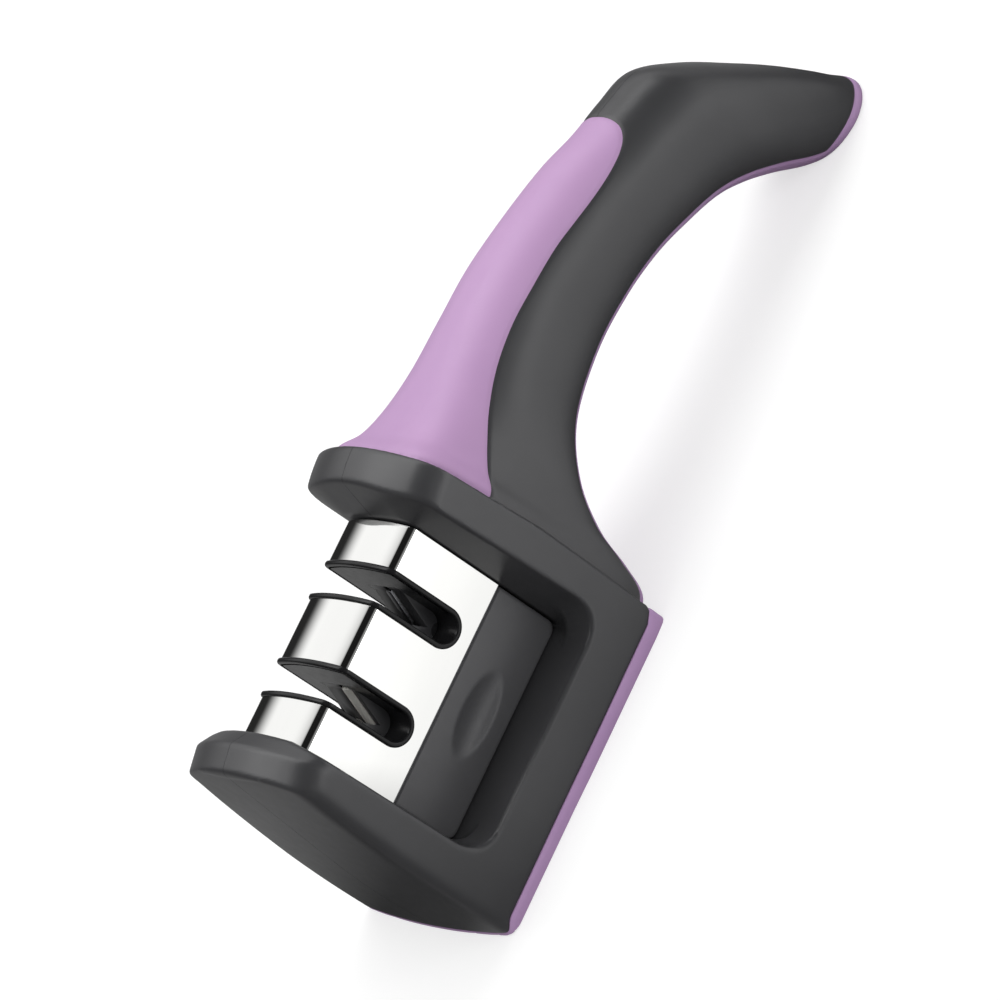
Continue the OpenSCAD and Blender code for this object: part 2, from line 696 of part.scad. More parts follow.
// A screw from each side of the holder presses on the foot of a plate
clamp_l = holder_w / 2 - plate_y - carbide_t / 2 - fit;
clamp_head_d = 1.7 * clamp_screw_d;
clamp_head_t = 0.6 * clamp_screw_d;
clamp_share = 0.27;
module clamp_place(side) {
    leaning(coarse_x, side)
        translate([side * carbide_w / 2, -side * holder_w / 2, -carbide_l * clamp_share])
        rotate([side > 0 ? -90 : 90, 0, 0]) children();
}
module carbide_screws() {
    color(steel_col) for (side = [-1, 1]) clamp_place(side) {
        translate([0, 0, fit]) cylinder(d = clamp_head_d, h = clamp_head_t, $fn = 32);
        translate([0, 0, clamp_head_t / 2])
            cylinder(d = clamp_screw_d, h = clamp_l - clamp_head_t / 2, $fn = 32);
    }
}

module ceramic_holder() {
    color(abs_col) difference() {
        holder(fine_x);
        for (side = [-1, 1]) ceramic_rod(side, fit, over);
    }
}
module ceramic_rod_front() {
    color(ceramic_col) ceramic_rod(1);
}
module ceramic_rod_back() {
    color(ceramic_col) ceramic_rod(-1);
}

module bottom_plate() {
    color(abs_col) difference() {
        union() {
            translate([cart_x0 + plate_inset, -cart_w / 2 + plate_inset, cart_z0])
                cube([cart_l - 2 * plate_inset, cart_w - 2 * plate_inset, plate_t]);
            for (x = [fine_x, coarse_x])
                translate([x - holder_l / 2, -holder_w / 2, cart_z0])
                    cube([holder_l, holder_w, holder_z0 - cart_z0 - fit]);
        }
        for (x = [fine_x, coarse_x])
            translate([x - holder_l / 2 + plate_t, -holder_w / 2 + plate_t, cart_z0 + plate_t])
                cube([holder_l - 2 * plate_t, holder_w - 2 * plate_t, holder_z0]);
    }
}

// Bowed spring strips that steady the cartridge against the ends of the bay
module steady_spring(end) {
    chord = spring_l - 2 * fit;
    rise = spring_proud + spring_seat - fit - spring_t;
    r = chord * chord / (8 * rise) + rise / 2;
    translate([end > 0 ? cart_x1 : cart_x0, 0, spring_z0 + spring_l / 2])
        rotate([90, 0, end > 0 ? 0 : 180])
        intersection() {
            translate([spring_proud - r, 0, 0]) difference() {
                cylinder(r = r, h = spring_w, center = true, $fn = 96);
                cylinder(r = r - spring_t, h = spring_w + over, center = true, $fn = 96);
            }
            translate([fit - spring_seat, -chord / 2, -spring_w])
                cube([spring_seat + spring_proud, chord, 2 * spring_w]);
        }
}
module steady_springs() {
    color(steel_col) for (end = [-1, 1]) steady_spring(end);
}

module placed() {
    translate([shift_x, 0, 0]) children();
}
placed() body_left();
placed() body_right();
placed() top_grip();
placed() sole();
placed() body_screws();
placed() cartridge_left();
placed() cartridge_right();
placed() steel_cover();
placed() coarse_guide();
placed() fine_guide();
placed() carbide_holder();
placed() carbide_plate_front();
placed() carbide_plate_back();
placed() carbide_screws();
placed() ceramic_holder();
placed() ceramic_rod_front();
placed() ceramic_rod_back();
placed() cartridge_screws();
placed() bottom_plate();
placed() steady_springs();
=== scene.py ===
import math
import bpy
import bmesh
import numpy as np
from mathutils import Matrix, Vector


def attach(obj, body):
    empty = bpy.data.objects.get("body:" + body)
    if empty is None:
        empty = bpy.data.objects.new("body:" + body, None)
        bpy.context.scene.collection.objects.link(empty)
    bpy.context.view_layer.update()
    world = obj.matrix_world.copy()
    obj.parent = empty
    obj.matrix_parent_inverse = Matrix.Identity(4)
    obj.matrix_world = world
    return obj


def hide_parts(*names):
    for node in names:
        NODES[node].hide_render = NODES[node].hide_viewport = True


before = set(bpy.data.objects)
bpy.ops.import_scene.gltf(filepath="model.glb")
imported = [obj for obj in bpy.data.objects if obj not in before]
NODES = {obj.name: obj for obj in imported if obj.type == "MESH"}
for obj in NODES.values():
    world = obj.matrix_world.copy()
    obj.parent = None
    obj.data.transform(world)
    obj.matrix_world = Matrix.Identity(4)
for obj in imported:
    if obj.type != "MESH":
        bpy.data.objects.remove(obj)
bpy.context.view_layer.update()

MM = 0.001
# Shapes and the camera's place are in millimetres from the nose's corner, as in the
# part's source, and go to the frame with this shift along X
SHIFT = -99.15


def to_frame(points):
    """Millimetres from the nose's corner to metres in the frame."""
    p = np.asarray(points, float).copy()
    p[:, 0] += SHIFT
    return p * MM


# Camera, fitted to the photo
CAMERA_PLACE = (-199.56, -943.29, 630.04)
CAMERA_RIGHT = (0.423, -0.5717, -0.703)
CAMERA_BACK = (-0.2431, -0.819, 0.5198)
scene = bpy.context.scene
scene.view_settings.view_transform = "Standard"
cam_data = bpy.data.cameras.new("camera")
cam_data.lens = 201.6
cam_data.sensor_width = 36
cam_data.clip_start = 0.01
cam_data.clip_end = 20
camera = bpy.data.objects.new("camera", cam_data)
scene.collection.objects.link(camera)
cam_z = Vector(CAMERA_BACK).normalized()
cam_y = cam_z.cross(Vector(CAMERA_RIGHT)).normalized()
cam_x = cam_y.cross(cam_z).normalized()
cam_turn = Matrix((cam_x, cam_y, cam_z)).transposed().to_4x4()
camera.matrix_world = Matrix.Translation(Vector(to_frame([CAMERA_PLACE])[0])) @ cam_turn
scene.camera = camera


# Shape functions. A field is below zero inside a shape and about a distance near its skin.
def smax(a, b, k):
    """The larger of two distances, with the corner between them rounded."""
    h = np.clip(k - np.abs(a - b), 0, None)
    return np.maximum(a, b) + h * h / (4 * np.maximum(k, 1e-6))


def smin(a, b, k):
    """The smaller of two distances, with the corner between them rounded."""
    return -smax(-a, -b, k)


def lerp(t, xs, ys):
    """Straight between given places."""
    return np.interp(t, xs, ys)


def common(first, *others):
    """Inside all of these fields, with sharp edges between them."""
    for f in others:
        first = np.maximum(first, f)
    return first


# Head: its side walls lean in to ARM_W at LEAN_H, and its back wall bulges at half height
HEAD_L, HEAD_W, ARM_W = 72.5, 54.0, 45.0
LEAN_H, LEAN_TOP = 55, 80
REAR_Z = [0, 34.5, 69, 103]
REAR_X = [HEAD_L - 0.7, HEAD_L + 0.9, HEAD_L, HEAD_L - 0.9]

# Tops of the two arms: two slopes meet in a ridge, and the top drops towards the sides
CROWN_HALF = 21.5
NOSE_H, NOSE_RIDGE_X, NOSE_RIDGE_BOW = 63.75, 6.9, 0.3
NOSE_RISE, NOSE_FALL = 0.2, 0.66
NOSE_DROP, NOSE_EDGE_DROP = 5.3, 0.5
BROW_H, BROW_X, BROW_RISE = 67.45, 64.6, 0.29
SHOULDER_H, SHOULDER_X, SHOULDER_FALL = 69.0, 70.2, 0.12
SHOULDER_DROP = 6.0
# The bows and drops grow up to these shares of the half width there and of CROWN_HALF
ACROSS_LIMIT, CROWN_LIMIT = 1.05, 1.1
# The nose's shape fades into the shoulder's over this stretch of the base
FADE_X, FADE_L = 26, 20

# Bay between the arms: outside BAY_HALF its walls spread and its floor rises, over
# BAY_MOUTH, and the corners between them grow round BAY_CORNER_PACE times as fast
BAY_X0, BAY_X1, BAY_FLOOR, BAY_HALF = 11.2, 62.2, 13.0, 12.5
BAY_MOUTH = 16.5
BAY_FLARE, BAY_FLOOR_RISE = 2.8, 1.0
BAY_OUTLINE_H, BAY_OUTLINE_R = 57.6, 3
BAY_SLOPE, BAY_SLOPE_W, BAY_SLOPE_COS = 0.26, 14, 0.96
BAY_CORNER_R, BAY_CORNER_GROW, BAY_CORNER_PACE = 0.6, 6.4, 3

# Widths of the blends between faces, where BLEND is the width for 1 mm of radius
BLEND = 1.17
CORNER_BASE_R, CORNER_TOP_R, CORNER_TOP_H = 2.5, 3.4, 60
ARM_EDGE, NOSE_EDGE, NOSE_CORNER, NOSE_WALL_EDGE = 4.2, 0.9, 0.6, 0.8
NOSE_RIDGE_SOFT, BROW_SOFT = 0.4, 2.4
BACK_EDGE, BASE_EDGE, HANDLE_EDGE = 1.0, 0.6, 0.6
BAY_EDGE, BAY_WALL_EDGE, JOIN_EDGE = 0.8, 1.0, 0.8

# Handle: top and bottom of each section as shares of its reach and height, half widths at
# the top and the bottom as shares of half its width, and its squareness
REACH, HANDLE_H, HANDLE_W, SQUARE = 129.0, 62.5, 27.0, 2.4
SECTION_SHARES = np.array([
    [-0.03, 1.055, -0.03, -0.01, 1.4, 1.95, 2.3],
    [0.015, 1.03, 0.014, 0.02, 1.42, 1.96, 2.3],
    [0.05, 0.995, 0.039, 0.11, 1.22, 1.9, 2],
    [0.105, 0.975, 0.066, 0.23, 1.12, 1.74, 1.6],
    [0.175, 0.97, 0.12, 0.35, 1.03, 1.55, 1.25],
    [0.27, 0.97, 0.21, 0.435, 0.97, 1.23, 1.1],
    [0.365, 0.965, 0.335, 0.465, 0.92, 1.05, 1.05],
    [0.47, 0.935, 0.445, 0.45, 0.86, 0.99, 1],
    [0.57, 0.89, 0.535, 0.415, 0.83, 0.98, 1],
    [0.65, 0.835, 0.61, 0.36, 0.84, 0.96, 1],
    [0.72, 0.8, 0.68, 0.295, 0.87, 0.96, 1],
    [0.79, 0.75, 0.73, 0.22, 0.94, 1, 1],
    [0.845, 0.615, 0.775, 0.13, 0.96, 1.09, 1],
    [0.89, 0.46, 0.82, 0.025, 0.94, 1.06, 1.1],
    [0.925, 0.33, 0.86, -0.035, 0.93, 1.05, 1.15],
    [0.955, 0.2, 0.9, -0.05, 0.87, 1.03, 1.2],
    [0.975, 0.105, 0.94, -0.05, 0.71, 0.91, 1.2],
    [0.99, 0.045, 0.975, -0.045, 0.48, 0.67, 1.2],
    [1, 0.006, 0.998, -0.04, 0.17, 0.25, 1.2]])
# Outline of the soft grip on the side view, as shares of the handle's reach and height
GRIP_SHARES = np.array([
    [-0.1, 0.73], [-0.03, 0.745], [0.01, 0.755], [0.03, 0.765], [0.055, 0.785], [0.09, 0.81],
    [0.14, 0.84], [0.21, 0.865], [0.285, 0.872], [0.355, 0.862], [0.43, 0.843],
    [0.49, 0.816], [0.54, 0.793], [0.59, 0.775], [0.63, 0.768], [0.658, 0.775],
    [0.677, 0.798], [0.688, 0.85], [0.682, 0.90], [0.67, 0.97], [0.655, 1.1], [0.64, 1.3]])


def spline(rows, steps):
    """Catmull-Rom curve through the rows, with steps pieces between two rows."""
    pad = np.vstack([rows[:1], rows, rows[-1:]])
    out = []
    for k in range(len(rows) - 1):
        a, b, c, d = pad[k:k + 4]
        t = (np.arange(steps) / steps)[:, None]
        out.append(0.5 * (2 * b + (c - a) * t + (2 * a - 5 * b + 4 * c - d) * t ** 2
                          + (3 * b - a - 3 * c + d) * t ** 3))
    return np.vstack(out + [rows[-1:]])


# Front wall: height, how far back it stands on the centre plane, and how far it bows
FRONT_STEPS, SECTION_STEPS, GRIP_STEPS = 12, 16, 6
FRONT = spline(np.array([
    [0, -2.85, 1.5], [10, -3.1, 1.6], [18, -3.15, 1.7], [26, -2.75, 1.5], [36, -1.9, 1.2],
    [46, -0.95, 1.0], [53, -0.25, 1.0], [57, 0.15, 1.0], [60, 0.5, 1.1], [62, 0.8, 1.2],
    [70, 4, 1.2]]), FRONT_STEPS)
SECTIONS = spline(SECTION_SHARES, SECTION_STEPS)
S_TOP = np.c_[HEAD_L + SECTIONS[:, 0] * REACH, SECTIONS[:, 1] * HANDLE_H]
S_BOTTOM = np.c_[HEAD_L + SECTIONS[:, 2] * REACH, SECTIONS[:, 3] * HANDLE_H]
LAST_SECTION = len(SECTIONS) - 1

# Part of the side view in which the handle's sections are looked up
TABLE_X, TABLE_Z, TABLE_STEP = (62, 206), (-6, 70), 0.5


def handle_table():
    """For a grid on the side view: which section passes there, in steps from the first."""
    x = np.arange(*TABLE_X, TABLE_STEP)
    z = np.arange(*TABLE_Z, TABLE_STEP)
    gx, gz = np.meshgrid(x, z, indexing="ij")
    # distance of each point from each section's line; the section that passes through a
    # point is where this changes sign
    side = np.empty((len(SECTIONS),) + gx.shape, np.float32)
    for i in range(len(SECTIONS)):
        d = S_TOP[i] - S_BOTTOM[i]
        length = math.hypot(*d)
        side[i] = ((gx - S_BOTTOM[i, 0]) * d[1] - (gz - S_BOTTOM[i, 1]) * d[0]) / length
    behind = (side > 0).sum(0)
    k = np.clip(behind - 1, 0, len(SECTIONS) - 2)
    a = np.take_along_axis(side, k[None], 0)[0]
    b = np.take_along_axis(side, (k + 1)[None], 0)[0]
    # past the first and the last section the count goes on for a few sections
    t = np.clip(a / np.maximum(a - b, 1e-6), -3, 4)
    return x, z, k + t


TX, TZ, TU = handle_table()


def section_at(x, z):
    """The section that passes through a point of the side view."""
    fx = np.clip((x - TX[0]) / (TX[1] - TX[0]), 0, len(TX) - 1.001)
    fz = np.clip((z - TZ[0]) / (TZ[1] - TZ[0]), 0, len(TZ) - 1.001)
    i, j = fx.astype(int), fz.astype(int)
    u, v = fx - i, fz - j
    return (TU[i, j] * (1 - u) * (1 - v) + TU[i + 1, j] * u * (1 - v)
            + TU[i, j + 1] * (1 - u) * v + TU[i + 1, j + 1] * u * v)


def shares_at(s):
    """A section's shares, also between two sections."""
    s = np.clip(s, 0, len(SECTIONS) - 1.001)
    k = s.astype(int)
    t = (s - k)[..., None]
    return SECTIONS[k] * (1 - t) + SECTIONS[np.minimum(k + 1, LAST_SECTION)] * t


# Limits that keep the handle's field sound far outside it and past its ends
RISE_LIMIT, MIN_HALF_W, END_SLOPE = 1.3, 0.3, 0.5


def handle_field(x, y, z):
    """Below zero inside the handle."""
    s = section_at(x, z)
    q = shares_at(s)
    tx, tz = HEAD_L + q[..., 0] * REACH, q[..., 1] * HANDLE_H
    bx, bz = HEAD_L + q[..., 2] * REACH, q[..., 3] * HANDLE_H
    top_w, low_w = q[..., 4], q[..., 5]
    hx, hz = (tx - bx) / 2, (tz - bz) / 2
    half = np.hypot(hx, hz)
    rise = ((x - (tx + bx) / 2) * hx + (z - (tz + bz) / 2) * hz) / half ** 2
    level = np.clip(rise, -RISE_LIMIT, RISE_LIMIT)
    w = (top_w + low_w + (top_w - low_w) * level) * HANDLE_W / 4
    n = SQUARE * q[..., 6]
    r = (np.abs(y / np.maximum(w, MIN_HALF_W)) ** n + np.abs(rise) ** n) ** (1 / n)
    d = (r - 1) * np.minimum(w, half)
    beyond = (np.maximum(s - LAST_SECTION, 0) + np.maximum(-s, 0)) * END_SLOPE
    return np.where(beyond > 0, np.maximum(d, beyond), d)


def head_field(x, y, z):
    """Below zero inside the head, without its bay."""
    ay = np.abs(y)
    half = HEAD_W / 2 - (HEAD_W - ARM_W) / 2 * np.clip(z, 0, LEAN_TOP) / LEAN_H
    side = ay - half
    across = np.clip(ay / half, 0, ACROSS_LIMIT)
    bow = lerp(z, FRONT[:, 0], FRONT[:, 2]) * across * across
    front = lerp(z, FRONT[:, 0], FRONT[:, 1]) + bow - x
    corner = BLEND * lerp(z, [0, CORNER_TOP_H], [CORNER_BASE_R, CORNER_TOP_R])
    wall = smax(side, front, corner)
    back = x - lerp(z, REAR_Z[:3], REAR_X[:3])

    t = np.clip(ay / CROWN_HALF, 0, CROWN_LIMIT)
    past = x - NOSE_RIDGE_X - NOSE_RIDGE_BOW * across * across
    nose_top = smax(z - (NOSE_H + NOSE_RISE * past), z - (NOSE_H - NOSE_FALL * past),
                    NOSE_RIDGE_SOFT)
    nose_top = nose_top + NOSE_DROP * t ** 2 + NOSE_EDGE_DROP * t ** 4
    nose = smax(smax(side, nose_top, ARM_EDGE), smax(front, nose_top, NOSE_EDGE), NOSE_CORNER)
    nose = smax(nose, wall, NOSE_WALL_EDGE)

    shoulder_top = smax(z - BROW_H - BROW_RISE * (x - BROW_X),
                        z - SHOULDER_H + SHOULDER_FALL * (x - SHOULDER_X), BROW_SOFT)
    shoulder_top = shoulder_top + SHOULDER_DROP * t ** 2
    shoulder = smax(smax(wall, shoulder_top, ARM_EDGE), back, BACK_EDGE)

    share = np.clip((x - FADE_X) / FADE_L, 0, 1)
    share = share * share * (3 - 2 * share)
    return smax(nose * (1 - share) + shoulder * share, -z, BASE_EDGE)


def bay_field(x, y, z):
    """Below zero inside the bay and its openings."""
    ay = np.abs(y)
    t = np.clip((ay - BAY_HALF) / BAY_MOUTH, 0, 1)
    x0 = BAY_X0 - BAY_FLARE * t
    # on the shoulder's side one slope runs all round the cartridge's outline
    qy = ay - (BAY_HALF - BAY_OUTLINE_R)
    qz = z - (BAY_OUTLINE_H - BAY_OUTLINE_R)
    past = np.hypot(np.maximum(qy, 0), np.maximum(qz, 0)) + np.minimum(np.maximum(qy, qz), 0)
    x1 = BAY_X1 + BAY_SLOPE * np.clip(past - BAY_OUTLINE_R, 0, BAY_SLOPE_W)
    floor_z = BAY_FLOOR + BAY_FLOOR_RISE * t
    grown = np.clip(t * BAY_CORNER_PACE, 0, 1)
    corner = BLEND * (BAY_CORNER_R + BAY_CORNER_GROW * grown)
    walls = smax(x0 - x, (x - x1) * BAY_SLOPE_COS, BAY_WALL_EDGE)
    return smax(walls, floor_z - z, corner)


def body_field(x, y, z):
    """Below zero inside the housing and its handle, with the bay cut out."""
    past_bay = -bay_field(x, y, z)
    head = smax(head_field(x, y, z), past_bay, BAY_EDGE)
    handle = smax(handle_field(x, y, z), -z, HANDLE_EDGE)
    handle = smax(handle, past_bay, HANDLE_EDGE)
    return smin(head, handle, JOIN_EDGE)


# Meshing a field
def gradient(field, p, h=0.02):
    """A field's slope along X, Y and Z, from points a little way off on both sides."""
    g = np.empty_like(p)
    for a in range(3):
        d = np.zeros(3)
        d[a] = h
        g[:, a] = (field(*(p + d).T) - field(*(p - d).T)) / (2 * h)
    return g


def onto(field, p, rounds=4, limit=0.3):
    """Moves points onto the field's zero surface."""
    for _ in range(rounds):
        f = field(*p.T)
        g = gradient(field, p)
        n2 = np.maximum((g * g).sum(1), 1e-3)
        step = -(f / n2)[:, None] * g
        size = np.linalg.norm(step, axis=1)
        p = p + step * np.minimum(1, limit / np.maximum(size, 1e-9))[:, None]
    return p


def surface_nets(field, low, high, step):
    """Quads on the zero surface of a field in a box: each cell that the surface crosses has
    one point, and each edge of the grid that it crosses has one quad."""
    axes = [np.arange(low[a], high[a] + step, step) for a in range(3)]
    shape = tuple(len(a) for a in axes)
    f = np.empty(shape, np.float32)
    for i, x in enumerate(axes[0]):
        yy, zz = np.meshgrid(axes[1], axes[2], indexing="ij")
        f[i] = field(np.full_like(yy, x), yy, zz)
    inside = f < 0
    cells = tuple(n - 1 for n in shape)
    count = np.zeros(cells, np.int8)
    total = np.zeros(cells + (3,), np.float32)
    corners = [(i, j, k) for i in (0, 1) for j in (0, 1) for k in (0, 1)]

    def at(v, c):
        return v[c[0]:c[0] + cells[0], c[1]:c[1] + cells[1], c[2]:c[2] + cells[2]]
    # a cell's point lies in the middle of the crossings on its edges
    for c in corners:
        for a in range(3):
            if c[a]:
                continue
            e = list(c)
            e[a] = 1
            fa, fb = at(f, c), at(f, e)
            cross = at(inside, c) != at(inside, e)
            t = np.where(cross, fa / np.where(cross, fa - fb, 1), 0)
            count += cross
            for b in range(3):
                total[..., b] += np.where(cross, c[b] + (t if b == a else 0), 0)
    used = count > 0
    index = np.full(cells, -1, np.int64)
    index[used] = np.arange(used.sum())
    where = np.argwhere(used)
    points = (where + total[used] / count[used][:, None]) * step + np.array(
        [axes[0][0], axes[1][0], axes[2][0]])
    quads = []
    for a in range(3):
        b, c = (a + 1) % 3, (a + 2) % 3
        lo = [slice(None)] * 3
        hi = [slice(None)] * 3
        lo[a], hi[a] = slice(0, -1), slice(1, None)
        change = inside[tuple(lo)] != inside[tuple(hi)]
        edge = np.argwhere(change)
        ok = (edge[:, b] > 0) & (edge[:, c] > 0)
        ok &= (edge[:, b] < cells[b]) & (edge[:, c] < cells[c])
        edge = edge[ok]
        db, dc = np.zeros(3, int), np.zeros(3, int)
        db[b], dc[c] = 1, 1
        ring = [index[tuple((edge - o).T)] for o in (db + dc, dc, 0 * db, db)]
        quad = np.stack(ring, 1)
        flip = ~inside[tuple(edge.T)]
        quad[flip] = quad[flip][:, ::-1]
        quads.append(quad)
    quads = np.vstack(quads)
    return points.astype(float), quads[(quads >= 0).all(1)]


def relax(field, p, quads, rounds=3):
    """Evens out the mesh: each point goes half way to the middle of its neighbours, and
    back onto the surface."""
    for _ in range(rounds):
        total = np.zeros_like(p)
        count = np.zeros(len(p))
        for a in range(4):
            for b in ((a + 1) % 4, (a + 3) % 4):
                np.add.at(total, quads[:, a], p[quads[:, b]])
                np.add.at(count, quads[:, a], 1)
        middle = total / np.maximum(count, 1)[:, None]
        p = onto(field, p + 0.5 * (middle - p), 2)
    return p


def triangles(quads):
    """Each quad as two triangles."""
    return np.vstack([quads[:, [0, 1, 2]], quads[:, [0, 2, 3]]])


# A point within ON_CUT of a cut counts as on its kept side. The cut's place on an edge is
# found with HALVINGS halvings.
ON_CUT, HALVINGS = 1e-4, 14


def clip(p, tris, value, keep_low=True):
    """Cuts a triangle mesh where a function of the points is zero and keeps one side."""
    v = value(*p.T)
    if not keep_low:
        v = -v
    v = np.where(np.abs(v) < ON_CUT, -ON_CUT, v)
    low = v < 0
    n_low = low[tris].sum(1)
    whole = tris[n_low == 3]
    cut = tris[(n_low == 1) | (n_low == 2)]
    edges = {}
    new_points = []
    out = []

    def mid(a, b):
        key = (a, b) if a < b else (b, a)
        if key not in edges:
            edges[key] = len(p) + len(new_points)
            new_points.append(key)
        return edges[key]
    for t in cut:
        s = low[t]
        if s.sum() == 1:
            i = int(np.argmax(s))
            a, b, c = int(t[i]), int(t[(i + 1) % 3]), int(t[(i + 2) % 3])
            out.append((a, mid(a, b), mid(a, c)))
        else:
            i = int(np.argmin(s))
            a, b, c = int(t[i]), int(t[(i + 1) % 3]), int(t[(i + 2) % 3])
            ab, ac = mid(a, b), mid(a, c)
            out.append((ab, b, c))
            out.append((ab, c, ac))
    if new_points:
        e = np.array(new_points)
        a, b = p[e[:, 0]], p[e[:, 1]]
        lo, hi = np.zeros(len(e)), np.ones(len(e))
        va = v[e[:, 0]]
        sign = 1 if keep_low else -1
        for _ in range(HALVINGS):
            m = (lo + hi) / 2
            vm = sign * value(*(a + (b - a) * m[:, None]).T)
            same = (vm < 0) == (va < 0)
            lo = np.where(same, m, lo)
            hi = np.where(same, hi, m)
        p = np.vstack([p, a + (b - a) * ((lo + hi) / 2)[:, None]])
        whole = np.vstack([whole, np.array(out)])
    used = np.unique(whole)
    back = np.full(len(p), -1)
    back[used] = np.arange(len(used))
    return p[used], back[whole]


def open_edges(tris):
    """Directed edges that belong to one triangle only."""
    e = np.vstack([tris[:, [0, 1]], tris[:, [1, 2]], tris[:, [2, 0]]])
    key = np.sort(e, 1)
    _, first, counts = np.unique(key, axis=0, return_index=True, return_counts=True)
    return e[first[counts == 1]]


# Points within this distance of the centre plane lie on the seam between two halves, and
# points within this distance of a hole's edge lie on the hole
SEAM_REACH, HOLE_REACH = 0.06, 0.01


def rim(p, tris, outward, depth):
    """Turns the open edge of a shell inwards, so that its thickness shows at the seams."""
    edge = open_edges(tris)
    ids = np.unique(edge)
    back = np.full(len(p), -1)
    back[ids] = len(p) + np.arange(len(ids))
    inner = p[ids] - outward(p[ids]) * depth
    # two halves meet inside the line between them
    inner[(p[ids, 1] > 0) & (p[ids, 1] < SEAM_REACH), 1] = 0
    walls = np.vstack([np.c_[edge[:, 1], edge[:, 0], back[edge[:, 0]]],
                       np.c_[edge[:, 1], back[edge[:, 0]], back[edge[:, 1]]]])
    return np.vstack([p, inner]), np.vstack([tris, walls])


def normals_of(field):
    """A function for the outward directions on a field's surface."""
    def outward(p):
        g = gradient(field, p)
        return g / np.maximum(np.linalg.norm(g, axis=1), 1e-6)[:, None]
    return outward


def drill(p, tris, places, r, floor_y, inner_r):
    """Counterbores along Y: the skin's hole, its wall and its seat."""
    def keep(x, y, z):
        return np.max([r - np.hypot(x - a, z - b) for a, b in places], 0)
    p, tris = clip(p, tris, keep)
    edge = open_edges(tris)
    near = np.abs(keep(*p.T)) < HOLE_REACH
    edge = edge[near[edge].all(1)]
    ids = np.unique(edge)
    back = np.full(len(p), -1)
    back[ids] = len(p) + np.arange(len(ids))
    low = p[ids].copy()
    low[:, 1] = floor_y
    home = np.array([min(places, key=lambda q: math.hypot(q[0] - v[0], q[1] - v[2]))
                     for v in low])
    seat = low.copy()
    seat[:, 0] = home[:, 0] + (low[:, 0] - home[:, 0]) * inner_r / r
    seat[:, 2] = home[:, 1] + (low[:, 2] - home[:, 1]) * inner_r / r
    walls = []
    rings = [edge, back[edge], back[edge] + len(ids)]
    for upper, lower in zip(rings[:-1], rings[1:]):
        (b, a), (c, d) = upper.T, lower.T
        walls += [np.c_[a, b, c], np.c_[a, c, d]]
    return np.vstack([p, low, seat]), np.vstack([tris] + walls)


# The sole stands this far above the floor, so that the two don't coincide
FLOOR_GAP = 0.01


def make_mesh(name, points, faces, smooth_angle=38):
    """An object from points in millimetres."""
    points = np.asarray(points, float)
    points[:, 2] = np.maximum(points[:, 2], FLOOR_GAP)
    mesh = bpy.data.meshes.new(name)
    mesh.from_pydata(to_frame(points).tolist(), [], [[int(i) for i in f] for f in faces])
    mesh.validate()
    mesh.update()
    obj = bpy.data.objects.new(name, mesh)
    scene.collection.objects.link(obj)
    mesh.polygons.foreach_set("use_smooth", [True] * len(mesh.polygons))
    mesh.set_sharp_from_angle(angle=math.radians(smooth_angle))
    return obj


def polyline_distance(points, x, z):
    """Distance on the side view to a row of points."""
    best = np.full(np.shape(x), np.inf)
    for a, b in zip(points[:-1], points[1:]):
        d = b - a
        t = np.clip(((x - a[0]) * d[0] + (z - a[1]) * d[1]) / (d @ d), 0, 1)
        best = np.minimum(best, np.hypot(x - a[0] - t * d[0], z - a[1] - t * d[1]))
    return best


def inside_polygon(poly, x, z):
    """Whether points of the side view lie inside a closed outline."""
    inside = np.zeros(np.shape(x), bool)
    for a, b in zip(poly, np.roll(poly, -1, 0)):
        hit = (a[1] > z) != (b[1] > z)
        dz = b[1] - a[1]
        xx = a[0] + (z - a[1]) * (b[0] - a[0]) / (dz if abs(dz) > 1e-9 else 1e-9)
        inside ^= hit & (x < xx)
    return inside


def outline_field(line, poly, x, z):
    """Below zero inside an outline on the side view, whose open side is closed far off."""
    d = polyline_distance(line, x, z)
    return np.where(inside_polygon(poly, x, z), -d, d)


# Soft grip: it begins GRIP_START behind the shoulder, and its outline is closed by a
# corner in the air above the head
GRIP_START = 0.45
GRIP_LINE = spline(np.c_[HEAD_L + GRIP_SHARES[:, 0] * REACH, GRIP_SHARES[:, 1] * HANDLE_H],
                   GRIP_STEPS)
GRIP_CORNER = [HEAD_L - 20, 1.4 * HANDLE_H]
GRIP_POLY = np.vstack([GRIP_LINE, [GRIP_CORNER]])


def grip_cut(x, y, z):
    """Below zero where the skin belongs to the grip."""
    behind_shoulder = lerp(z, REAR_Z, REAR_X) + GRIP_START - x
    return np.maximum(outline_field(GRIP_LINE, GRIP_POLY, x, z), behind_shoulder)


# Soft sole: a flat pad that runs up under the arch and ends in the foot. Its edge is PAD_T
# high, and thicker by ARCH_MORE and a swell under the arch.
PAD_T, PAD_PROUD = 2.6, 0.4
ARCH_MORE, ARCH_SWELL, SWELL_ROW, SWELL_ROWS = 0.4, 3.2, 2.8, 2.2
FOOT_ROW = 14
FAR_X0, FAR_X1, FAR_Z = -20, 230, -60
# The edge thins round the nose: places along X and heights
NOSE_EDGE_LINE = [[FAR_X0, 0.9], [-1.7, 0.9], [-0.9, 1.1], [-0.1, 1.6], [0.7, 2.15],
                  [1.5, 2.5], [2.3, PAD_T]]


